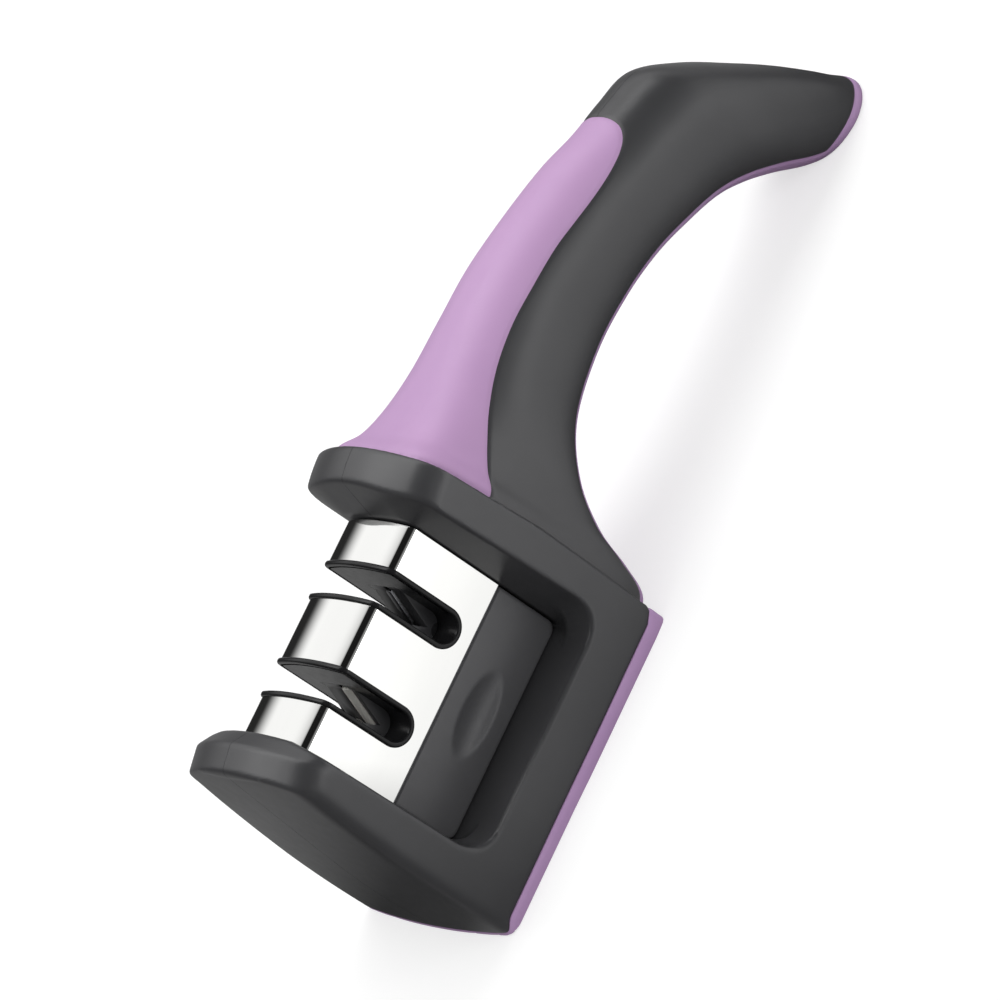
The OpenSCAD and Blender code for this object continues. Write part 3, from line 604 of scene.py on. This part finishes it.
def sole_points():
    """The sole's upper edge on the side view."""
    k = FOOT_ROW * SECTION_STEPS + 1
    b, t = S_BOTTOM[:k], S_TOP[:k]
    up = t - b
    row = np.arange(k) / SECTION_STEPS
    deep = PAD_T + ARCH_MORE + ARCH_SWELL * np.exp(-((row - SWELL_ROW) / SWELL_ROWS) ** 2)
    p = b + up / np.linalg.norm(up, axis=1)[:, None] * deep[:, None]
    p[:, 1] = np.maximum(p[:, 1], PAD_T)
    raised = p[:, 1] > PAD_T + 0.02
    first = int(np.argmax(raised))
    last = len(p) - int(np.argmax(raised[::-1]))
    return np.vstack([NOSE_EDGE_LINE, p[max(first - 1, 0):last + 1], [[FAR_X1, PAD_T]]])


SOLE_LINE = sole_points()
SOLE_POLY = np.vstack([SOLE_LINE, [[FAR_X1, FAR_Z], [FAR_X0, FAR_Z]]])


def sole_cut(x, y, z):
    """Below zero where the skin belongs to the sole."""
    return outline_field(SOLE_LINE, SOLE_POLY, x, z)


# Body: one surface, cut along its seams into the dark housing, the grip and the sole
STEP = 0.6
BODY_LOW, BODY_HIGH = (-4, -1.2, -1.2), (204, 28.5, 71)
GROOVE_D, GROOVE_W = 0.22, 0.35
HALF_GAP = 0.05


def grooved(x, y, z):
    """The body with a fine groove along the seams between its materials."""
    f = body_field(x, y, z)
    for seam in (grip_cut, sole_cut):
        f = f + GROOVE_D * np.exp(-(seam(x, y, z) / GROOVE_W) ** 2)
    return f


pts, quads = surface_nets(body_field, BODY_LOW, BODY_HIGH, STEP)
pts = onto(body_field, pts, 3)
pts = relax(body_field, pts, quads, 3)
tris = triangles(quads)
whole_p, whole_t = clip(pts, tris, lambda x, y, z: -y)
half_p, half_t = clip(pts, tris, lambda x, y, z: HALF_GAP - y)
dark_p, dark_t = clip(half_p, half_t, sole_cut, keep_low=False)
dark_p, dark_t = clip(dark_p, dark_t, grip_cut, keep_low=False)
grip_p, grip_t = clip(whole_p, whole_t, grip_cut)
sole_p, sole_t = clip(whole_p, whole_t, sole_cut)


def settle(p):
    """Moves points onto the grooved body."""
    return onto(grooved, p, 2, 0.3)


# Materials: the noises run from NOISE_LOW to NOISE_HIGH, and the gloss varies on a scale
# GLOSS_SCALE times finer than the tint
NOISE_LOW, NOISE_HIGH, GLOSS_SCALE = 0.3, 0.7, 7


def map_range(nt, source, low, high, to_low=0.0, to_high=1.0):
    """A node that carries one range of values over to another."""
    node = nt.nodes.new("ShaderNodeMapRange")
    ends = {"From Min": low, "From Max": high, "To Min": to_low, "To Max": to_high}
    for socket, value in ends.items():
        node.inputs[socket].default_value = value
    nt.links.new(source, node.inputs["Value"])
    return node.outputs["Result"]


def linear(r, g, b):
    """A colour as a picture's values from 0 to 255, for a shader."""
    return tuple(((c / 255 + 0.055) / 1.055) ** 2.4 if c > 10 else c / 255 / 12.92
                 for c in (r, g, b)) + (1,)


def material(name, dark, light, rough, patch, grain, bump, metal=0.0, stretch=(1, 1, 1),
             shine=0.5):
    """A surface with a faint drift of tint, a little unevenness of gloss and a fine grain."""
    m = bpy.data.materials.new(name)
    m.use_nodes = True
    nt = m.node_tree
    shader = nt.nodes["Principled BSDF"]
    shader.inputs["Metallic"].default_value = metal
    shader.inputs["Specular IOR Level"].default_value = shine
    coords = nt.nodes.new("ShaderNodeTexCoord")
    mapping = nt.nodes.new("ShaderNodeMapping")
    mapping.inputs["Scale"].default_value = stretch
    nt.links.new(coords.outputs["Object"], mapping.inputs["Vector"])

    def noise(scale, detail):
        n = nt.nodes.new("ShaderNodeTexNoise")
        n.inputs["Scale"].default_value = scale
        n.inputs["Detail"].default_value = detail
        nt.links.new(mapping.outputs["Vector"], n.inputs["Vector"])
        return n
    drift = noise(patch, 3)
    ramp = nt.nodes.new("ShaderNodeValToRGB")
    ramp.color_ramp.elements[0].position = NOISE_LOW
    ramp.color_ramp.elements[1].position = NOISE_HIGH
    ramp.color_ramp.elements[0].color = dark
    ramp.color_ramp.elements[1].color = light
    nt.links.new(drift.outputs["Fac"], ramp.inputs["Fac"])
    nt.links.new(ramp.outputs["Color"], shader.inputs["Base Color"])
    gloss = noise(patch * GLOSS_SCALE, 4)
    roughness = map_range(nt, gloss.outputs["Fac"], NOISE_LOW, NOISE_HIGH, *rough)
    nt.links.new(roughness, shader.inputs["Roughness"])
    if bump:
        fine = noise(grain, 2)
        height = nt.nodes.new("ShaderNodeBump")
        height.inputs["Strength"].default_value = bump[0]
        height.inputs["Distance"].default_value = bump[1]
        nt.links.new(fine.outputs["Fac"], height.inputs["Height"])
        nt.links.new(height.outputs["Normal"], shader.inputs["Normal"])
    return m


# Grain of the moulded plastics, and bumps as strength and depth in metres
GRAIN, SKIN_BUMP, FINE_BUMP = 5200, (0.12, 0.00003), (0.1, 0.00002)
LOOKS = {
    "black_steel": material("black_steel", linear(44, 44, 46), linear(52, 52, 54), (0.3, 0.4),
                            300, 2500, FINE_BUMP, metal=0.6),
    "dark_abs": material("dark_abs", linear(56, 56, 58), linear(60, 60, 62), (0.35, 0.38),
                         60, GRAIN, SKIN_BUMP),
    "soft_grip": material("soft_grip", linear(183, 146, 189), linear(188, 151, 193), (0.5, 0.58),
                          45, GRAIN, SKIN_BUMP),
    "soft_sole": material("soft_sole", linear(181, 146, 190), linear(186, 151, 194), (0.5, 0.58),
                          45, GRAIN, SKIN_BUMP),
    "bright_steel": material("bright_steel", linear(230, 230, 228), linear(235, 235, 233),
                             (0.03, 0.07), 90, 900, None, metal=1.0, stretch=(0.2, 1, 1)),
    "plain_steel": material("plain_steel", linear(176, 178, 180), linear(190, 191, 192),
                            (0.24, 0.34), 300, 2500, FINE_BUMP, metal=1.0),
    # The cartridge's shell is the housing's dark plastic, painted lighter to make up for the
    # shade it gets in the bay: painted light
    "cartridge_abs_painted_light": material("cartridge_abs_painted_light", linear(79, 79, 81), linear(83, 83, 85),
                              (0.33, 0.4), 60, GRAIN, SKIN_BUMP),
    # The guides' plastic is dark of its own, and made darker still as painted shade for the
    # walls inside the slots
    "lip_abs": material("lip_abs", linear(26, 26, 27), linear(30, 30, 31), (0.2, 0.26),
                        80, GRAIN, (0.05, 0.00002), shine=0.2),
    "carbide": material("carbide", linear(120, 121, 124), linear(134, 135, 137), (0.26, 0.36),
                        400, 3600, (0.16, 0.00002), metal=1.0, stretch=(1, 1, 6)),
    "ceramic": material("ceramic", linear(214, 212, 205), linear(224, 222, 216), (0.3, 0.4),
                        200, 4200, FINE_BUMP),
}


def dress(obj, body, slot_name, replaced, look=None):
    """Gives a piece its material, and says what it rides on and which nodes it replaces."""
    obj.data.materials.clear()
    obj.data.materials.append(LOOKS[look or slot_name])
    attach(obj, body)
    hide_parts(*replaced)
    return obj


# Screws of the housing: places on the side view, and the counterbore that each has
SCREW_PLACES = [(5.6, 8.1), (67.35, 8.1), (95.72, 41.25), (167.96, 31.25)]
COUNTERBORE_R, SEAT_Y, SHANK_R = 2.95, 7.2, 1.55
# Depth to which the seams between the body's pieces show a wall
SKIN_T = 1.6
# Where the sole stands proud of the housing: along the head as far as PROUD_END, hardly
# round the nose, and nowhere in front of PAD_X0
PROUD_END, PROUD_END_L = HEAD_L - 0.5, 5
PROUD_NOSE, PROUD_NOSE_L, PROUD_NOSE_SHARE = -1.5, 3, 0.15
PAD_X0 = -3.18
# Points this close to the centre plane are shared by both sides
ON_CENTRE = 2e-3
outside = normals_of(body_field)


def proud(p):
    """Lets the sole stand proud of the housing."""
    share = np.clip((PROUD_END - p[:, 0]) / PROUD_END_L, 0, 1)
    share = share * np.clip((p[:, 0] - PROUD_NOSE) / PROUD_NOSE_L, PROUD_NOSE_SHARE, 1)
    p = p + outside(p) * (PAD_PROUD * share)[:, None]
    p[:, 0] = np.maximum(p[:, 0], PAD_X0)
    return p


def housing_halves():
    """The dark housing's two halves. The screws enter the left one."""
    p, t = rim(settle(dark_p), dark_t, outside, SKIN_T)
    dress(make_mesh("housing_right", p * [1, -1, 1], t[:, ::-1]), "body", "dark_abs",
          ["body_right"])
    p, t = drill(p, t, SCREW_PLACES, COUNTERBORE_R, SEAT_Y, SHANK_R)
    dress(make_mesh("housing_left", p, t), "body", "dark_abs", ["body_left"])


def both_sides(name, p, t, replaced, look, reshape=None):
    """A soft piece and its mirror image as one object."""
    centre = np.abs(p[:, 1]) < ON_CENTRE
    p = settle(p)
    if reshape:
        p = reshape(p)
    p[centre, 1] = 0
    n = len(p)
    other = np.where(centre, np.arange(n), np.arange(n) + n)
    p = np.vstack([p, p * [1, -1, 1]])
    p, t = rim(p, np.vstack([t, other[t[:, ::-1]]]), outside, SKIN_T)
    dress(make_mesh(name, p, t), "body", "soft_grip", replaced, look)


housing_halves()
both_sides("soft_grip", grip_p, grip_t, ["top_grip"], "soft_grip")
both_sides("soft_sole", sole_p, sole_t, ["sole"], "soft_sole", proud)

# Cartridge
CX0, CX1, CART_MID, CART_HALF = 11.6, 61.8, 36.7, 12.1
CZ0, CZ1 = 13.4, 55.2
SLOT_X = {"fine": 25.45, "coarse": 47.95}
SLOT_R, SLOT_IN = 4.05, 3.25
SLOT_Z = 33.9 + SLOT_R
# Cover: it ends COVER_LIFT above the shell's step. Its long edges are arcs of EDGE_TURN
# degrees, and a low crown lies between them.
COVER_Z0, COVER_LIFT, COVER_T, COVER_GAP = 30.0, 0.5, 0.5, 0.06
EDGE_R, EDGE_TURN, EDGE_CLEAR = 1.8, 76, 0.2
EDGE_STEPS, CROWN_STEPS, COVER_COLUMNS = 12, 28, 101


def crown_points():
    """Half of the cover's cross-section from its side to its ridge: y, z and the way out."""
    turn = math.radians(EDGE_TURN)
    edge_y = CART_HALF - EDGE_R + EDGE_R * math.cos(turn)
    edge_z = CZ1 - EDGE_R + EDGE_R * math.sin(turn)
    rise = edge_y / 2 / math.tan(turn)
    out = []
    for i in range(EDGE_STEPS + 1):
        a = turn * i / EDGE_STEPS
        y = CART_HALF - EDGE_R + EDGE_R * math.cos(a)
        z = CZ1 - EDGE_R + EDGE_R * math.sin(a)
        out.append((y, z, math.cos(a), math.sin(a)))
    for i in range(1, CROWN_STEPS + 1):
        y = edge_y * (1 - i / CROWN_STEPS)
        n = np.array([2 * rise * y / edge_y ** 2, 1])
        n /= np.linalg.norm(n)
        out.append((y, edge_z + rise * (1 - (y / edge_y) ** 2), n[0], n[1]))
    return np.array(out)


COVER_SECTION = crown_points()


def over_crown(z_from, z_step=0.6):
    """The whole cross-section from the near side over the crown to the far side."""
    side = np.arange(z_from, CZ1 - EDGE_R - EDGE_CLEAR, z_step)
    up = np.c_[np.full(len(side), CART_HALF), side, np.ones(len(side)), np.zeros(len(side))]
    half = np.vstack([up, COVER_SECTION])
    near = half * [-1, 1, -1, 1]
    return np.vstack([near, half[::-1][1:]])


def crown_z(ay):
    """The cover's height at a distance from the centre plane."""
    return np.interp(ay, COVER_SECTION[::-1, 0], COVER_SECTION[::-1, 1])


def slot_reach(x, z, xc):
    """Distance from the line down a slot's middle to the centre of its round end."""
    return np.hypot(x - xc, np.minimum(z - SLOT_Z, 0))


def grid_faces(rows, cols):
    """Triangles between the points of a grid that are listed row by row."""
    i, j = np.meshgrid(np.arange(rows - 1), np.arange(cols - 1), indexing="ij")
    a = (i * cols + j).ravel()
    return np.vstack([np.c_[a, a + cols, a + cols + 1], np.c_[a, a + cols + 1, a + 1]])


def cover_out(p):
    """Outward direction on the cover at each point."""
    ay, z = np.abs(p[:, 1]), p[:, 2]
    section_y, section_z = COVER_SECTION[:, 0], COVER_SECTION[:, 1]
    key = np.argmin(np.hypot(ay[:, None] - section_y, z[:, None] - section_z), 1)
    ny, nz = COVER_SECTION[key, 2], COVER_SECTION[key, 3]
    flat = z < CZ1 - EDGE_R
    ny, nz = np.where(flat, 1, ny), np.where(flat, 0, nz)
    return np.c_[np.zeros(len(p)), ny * np.sign(p[:, 1]), nz]


def beside_slots(x, y, z):
    """Below zero outside the slots that the cover has."""
    reach = [slot_reach(x, z, xc) for xc in SLOT_X.values()]
    return SLOT_R + COVER_GAP - np.minimum(*reach)


def cover():
    """The polished cover: a thin bent sheet with two slots."""
    xs = np.linspace(CX0, CX1, COVER_COLUMNS)
    sec = over_crown(COVER_Z0 + COVER_LIFT)
    p = np.array([(x, q[0], q[1]) for x in xs for q in sec])
    p, t = clip(p, grid_faces(len(xs), len(sec)), beside_slots)
    n = len(p)
    rim_p, rim_t = rim(p, t, cover_out, COVER_T)
    # the rim has its own vertices, so the polished face keeps its own shading
    points = np.vstack([p, rim_p])
    walls = rim_t[len(t):] + n
    return make_mesh("polished_cover", points, np.vstack([t, walls]), smooth_angle=30)


dress(cover(), "cartridge", "bright_steel", ["steel_cover"])

# Guide: section of its lip, from the slot's wall outwards and from the cover up
LIP_SECTION = [(3.25, -0.95), (3.25, 0.16), (3.3, 0.36), (3.44, 0.5), (3.64, 0.56), (3.95, 0.56),
               (4.18, 0.5), (4.34, 0.36), (4.42, 0.16), (4.43, -0.05)]
BEND_STEPS = 36
# Wall of the guide, and the opening in it for the stage
GUIDE_Z1, GUIDE_HALF, GUIDE_T, GUIDE_LOW = 57, 11.9, 0.75, 0.5
GUIDE_STEP, GUIDE_BEND_POINTS, GUIDE_COLUMNS = 0.5, 25, 49
OPENING_HALF, OPENING_Z1 = 5.3, 47.9


def lip(xc):
    """The guide's rounded rim, one closed loop over both sides and the crown."""
    arms = over_crown(SLOT_Z, z_step=1.2)
    stations = []

    def bend(start, end, sign):
        for a in np.linspace(start, end, BEND_STEPS + 1)[:-1]:
            c, d = math.cos(math.radians(a)), math.sin(math.radians(a))
            stations.append(((sign * CART_HALF, SLOT_Z), (c, 0, d), (0, sign, 0)))

    def arm(points, sign):
        for y, z, out_y, out_z in points[:-1]:
            stations.append(((y, z), (sign, 0, 0), (0, out_y, out_z)))
    bend(180, 360, -1)
    arm(arms, 1)
    bend(0, -180, 1)
    arm(arms[::-1], -1)
    p = []
    for base, side, out in stations:
        for a, b in LIP_SECTION:
            p.append((xc + a * side[0] + b * out[0], base[0] + a * side[1] + b * out[1],
                      base[1] + a * side[2] + b * out[2]))
    m, k = len(stations), len(LIP_SECTION)
    faces = []
    for i in range(m):
        j = (i + 1) % m
        for c in range(k - 1):
            faces.append((i * k + c, i * k + c + 1, j * k + c + 1, j * k + c))
    return np.array(p), faces


def guide_wall(xc):
    """Inside of a slot: a thin U with an opening for its stage."""
    arm = np.arange(GUIDE_Z1, SLOT_Z, -GUIDE_STEP)
    path = [(xc - SLOT_IN, z) for z in arm]
    path += [(xc + SLOT_IN * math.cos(a), SLOT_Z + SLOT_IN * math.sin(a))
             for a in np.linspace(math.pi, 2 * math.pi, GUIDE_BEND_POINTS)]
    path += [(xc + SLOT_IN, z) for z in arm[::-1]]
    ys = np.linspace(-GUIDE_HALF, GUIDE_HALF, GUIDE_COLUMNS)
    p = np.array([(x, y, z) for x, z in path for y in ys])
    t = grid_faces(len(path), len(ys))
    p, t = clip(p, t, lambda x, y, z: z - crown_z(np.abs(y)) + GUIDE_LOW)
    p, t = clip(p, t, lambda x, y, z: -np.maximum(np.abs(y) - OPENING_HALF, z - OPENING_Z1))

    def outward(q):
        low = q[:, 2] < SLOT_Z
        dx, dz = q[:, 0] - xc, np.where(low, q[:, 2] - SLOT_Z, 0)
        r = np.hypot(dx, dz)
        return -np.c_[dx / r, 0 * dx, dz / r]
    return rim(p, t, outward, GUIDE_T)


def guide(stage):
    """A slot's guide: its lip and its wall as one object."""
    lip_p, lip_f = lip(SLOT_X[stage])
    wall_p, wall_t = guide_wall(SLOT_X[stage])
    faces = lip_f + [tuple(f + len(lip_p)) for f in wall_t]
    points = np.vstack([lip_p, wall_p])
    obj = make_mesh(stage + "_slot_guide", points, faces, smooth_angle=40)
    # the guide's dark plastic also carries painted shade for the inside of its slot
    dress(obj, "cartridge", "lip_abs", [stage + "_guide"])


for stage in SLOT_X:
    guide(stage)

# Shell: its lower part is the grip for two fingers, and its upper part lies in the cover
SHELL_STEP = 0.4
SHELL_LOW, SHELL_HIGH = (10.9, -0.8, 12.7), (62.6, 12.9, 56.5)
SHELL_HALF_GAP, SHELL_RIM, SHELL_SLOT_GAP = 0.03, 0.8, 0.05
SHELL_END_SOFT, SHELL_SIDE_SOFT, SHELL_TOP_SOFT, CUT_SOFT = 2.4, 0.6, 0.35, 0.2
SHELL_TOP_GAP, UPPER_INSET, UPPER_OVERLAP = 0.1, 0.55, 3
# The dimple is cut by a ball that is stretched along X
THUMB_Y, THUMB_Z, THUMB_R, THUMB_STRETCH, THUMB_SOFT = 18.82, 21.37, 7.82, 2.375, 0.25
# Room for the holders, the bottom plate and the springs
HOLDER_L, HOLDER_W, HOLDER_Z1, HOLDER_GAP = 15.4, 10.4, 47.95, 0.1
PLATE_HALF_L, PLATE_HALF_W, PLATE_Z1 = 23.15, 10.15, 15.45
SPRING_X, SPRING_HALF_W, SPRING_Z, SPRING_HALF_H = 22.9, 2.55, 27.4, 8.05


def shell_field(x, y, z):
    """Below zero inside the cartridge's dark shell."""
    ay = np.abs(y)
    ends = np.maximum(CX0 - x, x - CX1)
    low = smax(smax(ends, CZ0 - z, SHELL_END_SOFT), ay - CART_HALF, SHELL_SIDE_SOFT)
    low = smax(low, z - COVER_Z0 + SHELL_TOP_GAP, SHELL_TOP_SOFT)
    high = common(ends, ay - CART_HALF + UPPER_INSET, z - (crown_z(ay) - UPPER_INSET),
                  COVER_Z0 - UPPER_OVERLAP - z)
    d = np.minimum(low, high)
    thumb = np.sqrt(((x - CART_MID) / THUMB_STRETCH) ** 2 + (ay - THUMB_Y) ** 2
                    + (z - THUMB_Z) ** 2) - THUMB_R
    d = smax(d, -thumb, THUMB_SOFT)
    for xc in SLOT_X.values():
        d = np.maximum(d, SLOT_R + SHELL_SLOT_GAP - slot_reach(x, z, xc))
        pocket = common(np.abs(x - xc) - HOLDER_L / 2 - HOLDER_GAP,
                        ay - HOLDER_W / 2 - HOLDER_GAP, z - HOLDER_Z1)
        d = np.maximum(d, -pocket)
    plate = common(np.abs(x - CART_MID) - PLATE_HALF_L, ay - PLATE_HALF_W, z - PLATE_Z1)
    seat = common(SPRING_X - np.abs(x - CART_MID), ay - SPRING_HALF_W,
                  np.abs(z - SPRING_Z) - SPRING_HALF_H)
    return smax(smax(d, -plate, CUT_SOFT), -seat, CUT_SOFT)


def shell_halves():
    """The cartridge's two halves, the right one a mirror image of the left."""
    p, quads = surface_nets(shell_field, SHELL_LOW, SHELL_HIGH, SHELL_STEP)
    p = relax(shell_field, onto(shell_field, p, 4, 0.2), quads, 2)
    p, t = clip(p, triangles(quads), lambda x, y, z: SHELL_HALF_GAP - y)
    p, t = rim(p, t, normals_of(shell_field), SHELL_RIM)
    for side, points, faces in (("left", p, t), ("right", p * [1, -1, 1], t[:, ::-1])):
        obj = make_mesh("cartridge_shell_" + side, points, faces, smooth_angle=32)
        # the shell gets the dark plastic painted lighter, as painted light against the shade in
        # the bay
        dress(obj, "cartridge", "dark_abs", ["cartridge_" + side], "cartridge_abs_painted_light")


shell_halves()

# Small pieces: bevels in millimetres
BEVELS = {"holder": 0.2, "carbide": 0.15, "ceramic": 0.3, "plate": 0.3, "spring": 0.08,
          "screw": 0.1}
# Edges over SHARP_TURN degrees are bevelled, and faces within FLAT_TURN degrees are joined
BEVEL_STEPS, SHARP_TURN, FLAT_TURN = 3, 35, 1.5
# Points this close in metres are one
WELD = 2e-6


def soften(node, name, body, slot_name, width, look=None):
    """A copy of a CAD node with its sharp edges broken."""
    src = NODES[node]
    obj = bpy.data.objects.new(name, src.data.copy())
    scene.collection.objects.link(obj)
    obj.matrix_world = src.matrix_world.copy()
    bm = bmesh.new()
    bm.from_mesh(obj.data)
    bmesh.ops.remove_doubles(bm, verts=bm.verts, dist=WELD)
    bmesh.ops.dissolve_limit(bm, angle_limit=math.radians(FLAT_TURN), verts=bm.verts,
                             edges=bm.edges)
    bm.to_mesh(obj.data)
    bm.free()
    obj.data.polygons.foreach_set("use_smooth", [True] * len(obj.data.polygons))
    bevel = obj.modifiers.new("bevel", "BEVEL")
    bevel.width = width * MM
    bevel.segments = BEVEL_STEPS
    bevel.limit_method = "ANGLE"
    bevel.angle_limit = math.radians(SHARP_TURN)
    bevel.harden_normals = True
    dress(obj, body, slot_name, [node], look)


for stage in ("carbide", "ceramic"):
    soften(stage + "_holder", "stage_block_" + stage, "cartridge", "dark_abs", BEVELS["holder"])
for side in ("front", "back"):
    soften("carbide_plate_" + side, "carbide_tip_" + side, "cartridge", "carbide",
           BEVELS["carbide"])
    soften("ceramic_rod_" + side, "ceramic_stick_" + side, "cartridge", "ceramic",
           BEVELS["ceramic"])
soften("bottom_plate", "cartridge_floor", "cartridge", "dark_abs", BEVELS["plate"])
soften("steady_springs", "spring_strips", "cartridge", "plain_steel", BEVELS["spring"])
for node, body, look in (("body_screws", "body", None),
                         ("carbide_screws", "cartridge", "black_steel"),
                         ("cartridge_screws", "cartridge", None)):
    soften(node, node + "_steel", body, "plain_steel", BEVELS["screw"], look)

# Stage: half the floor's length in metres
FLOOR_HALF = 6
floor_mesh = bpy.data.meshes.new("floor")
corners = [(-1, -1), (1, -1), (1, 1), (-1, 1)]
floor_mesh.from_pydata([(FLOOR_HALF * a, FLOOR_HALF * b, 0) for a, b in corners], [],
                       [(0, 1, 2, 3)])
floor = bpy.data.objects.new("floor", floor_mesh)
scene.collection.objects.link(floor)

# The floor's paint and glow, and how light it is in reflections from behind the object
# (share 1) to in front of it (share 0), over FLOOR_SPAN metres along Y
FLOOR_GREY, FLOOR_GLOW, FLOOR_SPAN = 0.45, 0.62, (-0.4, 0.4)
FLOOR_LEVELS = ((0.0, 1.0), (0.2, 0.88), (0.32, 0.52), (0.44, 0.36), (0.4625, 0.18),
                (0.4875, 0.03), (0.525, 0.015), (0.57, 0.1), (0.61, 0.15), (0.65, 0.13),
                (1.0, 0.12))
# In the corner in front of the nose the reflections are DIM, elsewhere STRONG
DIM, STRONG = 0.3, 3
DIM_X, DIM_Y = (-0.105, -0.068), (-0.04, -0.02)
# The room's plain light, its levels in reflections by the angle round the X axis, as shares
# of half a turn from the back, and their strength along X
ROOM_LIGHT = 0.5
ROOM_LEVELS = ((0.0, 0.02), (0.065, 0.02), (0.165, 1.0), (0.285, 1.0), (0.4, 0.01),
               (0.8, 0.01), (0.93, 0.3), (1.0, 0.3))
ROOM_SPAN, ROOM_STRENGTHS = (-0.4, -0.05), (0.25, 1.15)


def grey_ramp(nt, source, levels):
    """A ramp of greys, given as places and levels."""
    node = nt.nodes.new("ShaderNodeValToRGB")
    ramp = node.color_ramp
    ramp.elements[0].position, ramp.elements[1].position = levels[0][0], levels[-1][0]
    for place, _ in levels[1:-1]:
        ramp.elements.new(place)
    for e, (_, level) in zip(ramp.elements, levels):
        e.color = (level, level, level, 1)
    nt.links.new(source, node.inputs["Fac"])
    return node


def calculate(nt, operation, *sources):
    """A node that works out one value."""
    node = nt.nodes.new("ShaderNodeMath")
    node.operation = operation
    for source, socket in zip(sources, node.inputs):
        if isinstance(source, float):
            socket.default_value = source
        else:
            nt.links.new(source, socket)
    return node.outputs[0]


def directions(nt, kind):
    """The X, Y and Z of a place or a direction."""
    coords = nt.nodes.new("ShaderNodeTexCoord")
    split = nt.nodes.new("ShaderNodeSeparateXYZ")
    nt.links.new(coords.outputs[kind], split.inputs[0])
    return split.outputs


def by_ray(nt, plain, mirrored, seen, surface):
    """One shader for plain light, one for reflections and one for the camera."""
    rays = nt.nodes.new("ShaderNodeLightPath")
    shader = plain
    for ray, other in (("Is Glossy Ray", mirrored), ("Is Camera Ray", seen)):
        mix = nt.nodes.new("ShaderNodeMixShader")
        nt.links.new(rays.outputs[ray], mix.inputs[0])
        nt.links.new(shader.outputs[0], mix.inputs[1])
        nt.links.new(other.outputs[0], mix.inputs[2])
        shader = mix
    nt.links.new(shader.outputs[0], surface)


def backdrop():
    """The floor: white to the camera, a plain pale surface for light, and in reflections
    white in front and dark behind."""
    m = bpy.data.materials.new("backdrop")
    m.use_nodes = True
    nt = m.node_tree
    nt.nodes.clear()
    out = nt.nodes.new("ShaderNodeOutputMaterial")
    paint = nt.nodes.new("ShaderNodeBsdfDiffuse")
    paint.inputs["Color"].default_value = (FLOOR_GREY, FLOOR_GREY, FLOOR_GREY, 1)
    glow = nt.nodes.new("ShaderNodeEmission")
    glow.inputs["Strength"].default_value = FLOOR_GLOW
    seen = nt.nodes.new("ShaderNodeAddShader")
    nt.links.new(paint.outputs[0], seen.inputs[0])
    nt.links.new(glow.outputs[0], seen.inputs[1])
    place = directions(nt, "Object")
    fall = grey_ramp(nt, map_range(nt, place["Y"], *FLOOR_SPAN), FLOOR_LEVELS)
    # dim only where both X and Y are low, because the shoulder's slope mirrors that corner
    strength = calculate(nt, "MAXIMUM", map_range(nt, place["X"], *DIM_X, DIM, STRONG),
                         map_range(nt, place["Y"], *DIM_Y, DIM, STRONG))
    mirrored = nt.nodes.new("ShaderNodeEmission")
    nt.links.new(strength, mirrored.inputs["Strength"])
    nt.links.new(fall.outputs["Color"], mirrored.inputs["Color"])
    by_ray(nt, paint, mirrored, seen, out.inputs["Surface"])
    return m


def room():
    """White where the camera looks past the object, and for reflections a bright screen
    behind and dark curtains above the camera's side."""
    world = bpy.data.worlds.new("world")
    scene.world = world
    world.use_nodes = True
    nt = world.node_tree
    plain = nt.nodes["Background"]
    plain.inputs["Color"].default_value = (1, 1, 1, 1)
    plain.inputs["Strength"].default_value = ROOM_LIGHT
    way = directions(nt, "Generated")
    turn = calculate(nt, "ARCTAN2", way["Z"], way["Y"])
    screen = grey_ramp(nt, calculate(nt, "MULTIPLY", turn, 1 / math.pi), ROOM_LEVELS)
    screen.color_ramp.interpolation = "EASE"
    mirrored = nt.nodes.new("ShaderNodeBackground")
    nt.links.new(screen.outputs["Color"], mirrored.inputs["Color"])
    strength = map_range(nt, way["X"], *ROOM_SPAN, *ROOM_STRENGTHS)
    nt.links.new(strength, mirrored.inputs["Strength"])
    seen = nt.nodes.new("ShaderNodeBackground")
    seen.inputs["Color"].default_value = (1, 1, 1, 1)
    by_ray(nt, plain, mirrored, seen, nt.nodes["World Output"].inputs["Surface"])


floor_mesh.materials.append(backdrop())
room()

# Lamps: places and sizes in metres, and all look at the same point
AIM = (0, 0, 0.03)


def lamp(name, place, size, power):
    """A rectangular lamp that looks at AIM."""
    data = bpy.data.lights.new(name, "AREA")
    data.shape = "RECTANGLE"
    data.size, data.size_y = size
    data.energy = power
    obj = bpy.data.objects.new(name, data)
    scene.collection.objects.link(obj)
    obj.location = place
    obj.rotation_euler = (Vector(AIM) - Vector(place)).to_track_quat("-Z", "Y").to_euler()
    return obj


key = lamp("key", (0.1, 0.3, 1.0), (0.9, 0.6), 5.2)
right = lamp("right", (0.75, 0.1, 0.85), (0.5, 0.5), 2)
front = lamp("front", (0.2, -1.0, 0.5), (0.5, 0.5), 3.3)
left = lamp("left", (-0.9, -0.1, 0.7), (0.6, 0.6), 0.6)
for light in (front, left):
    light.visible_glossy = False
# The polished cover mirrors the screen and curtains, and not these two lamps
apart = bpy.data.collections.new("apart")
apart.objects.link(bpy.data.objects["polished_cover"])
apart.collection_objects[0].light_linking.link_state = "EXCLUDE"
for light in (key, right):
    light.light_linking.receiver_collection = apart
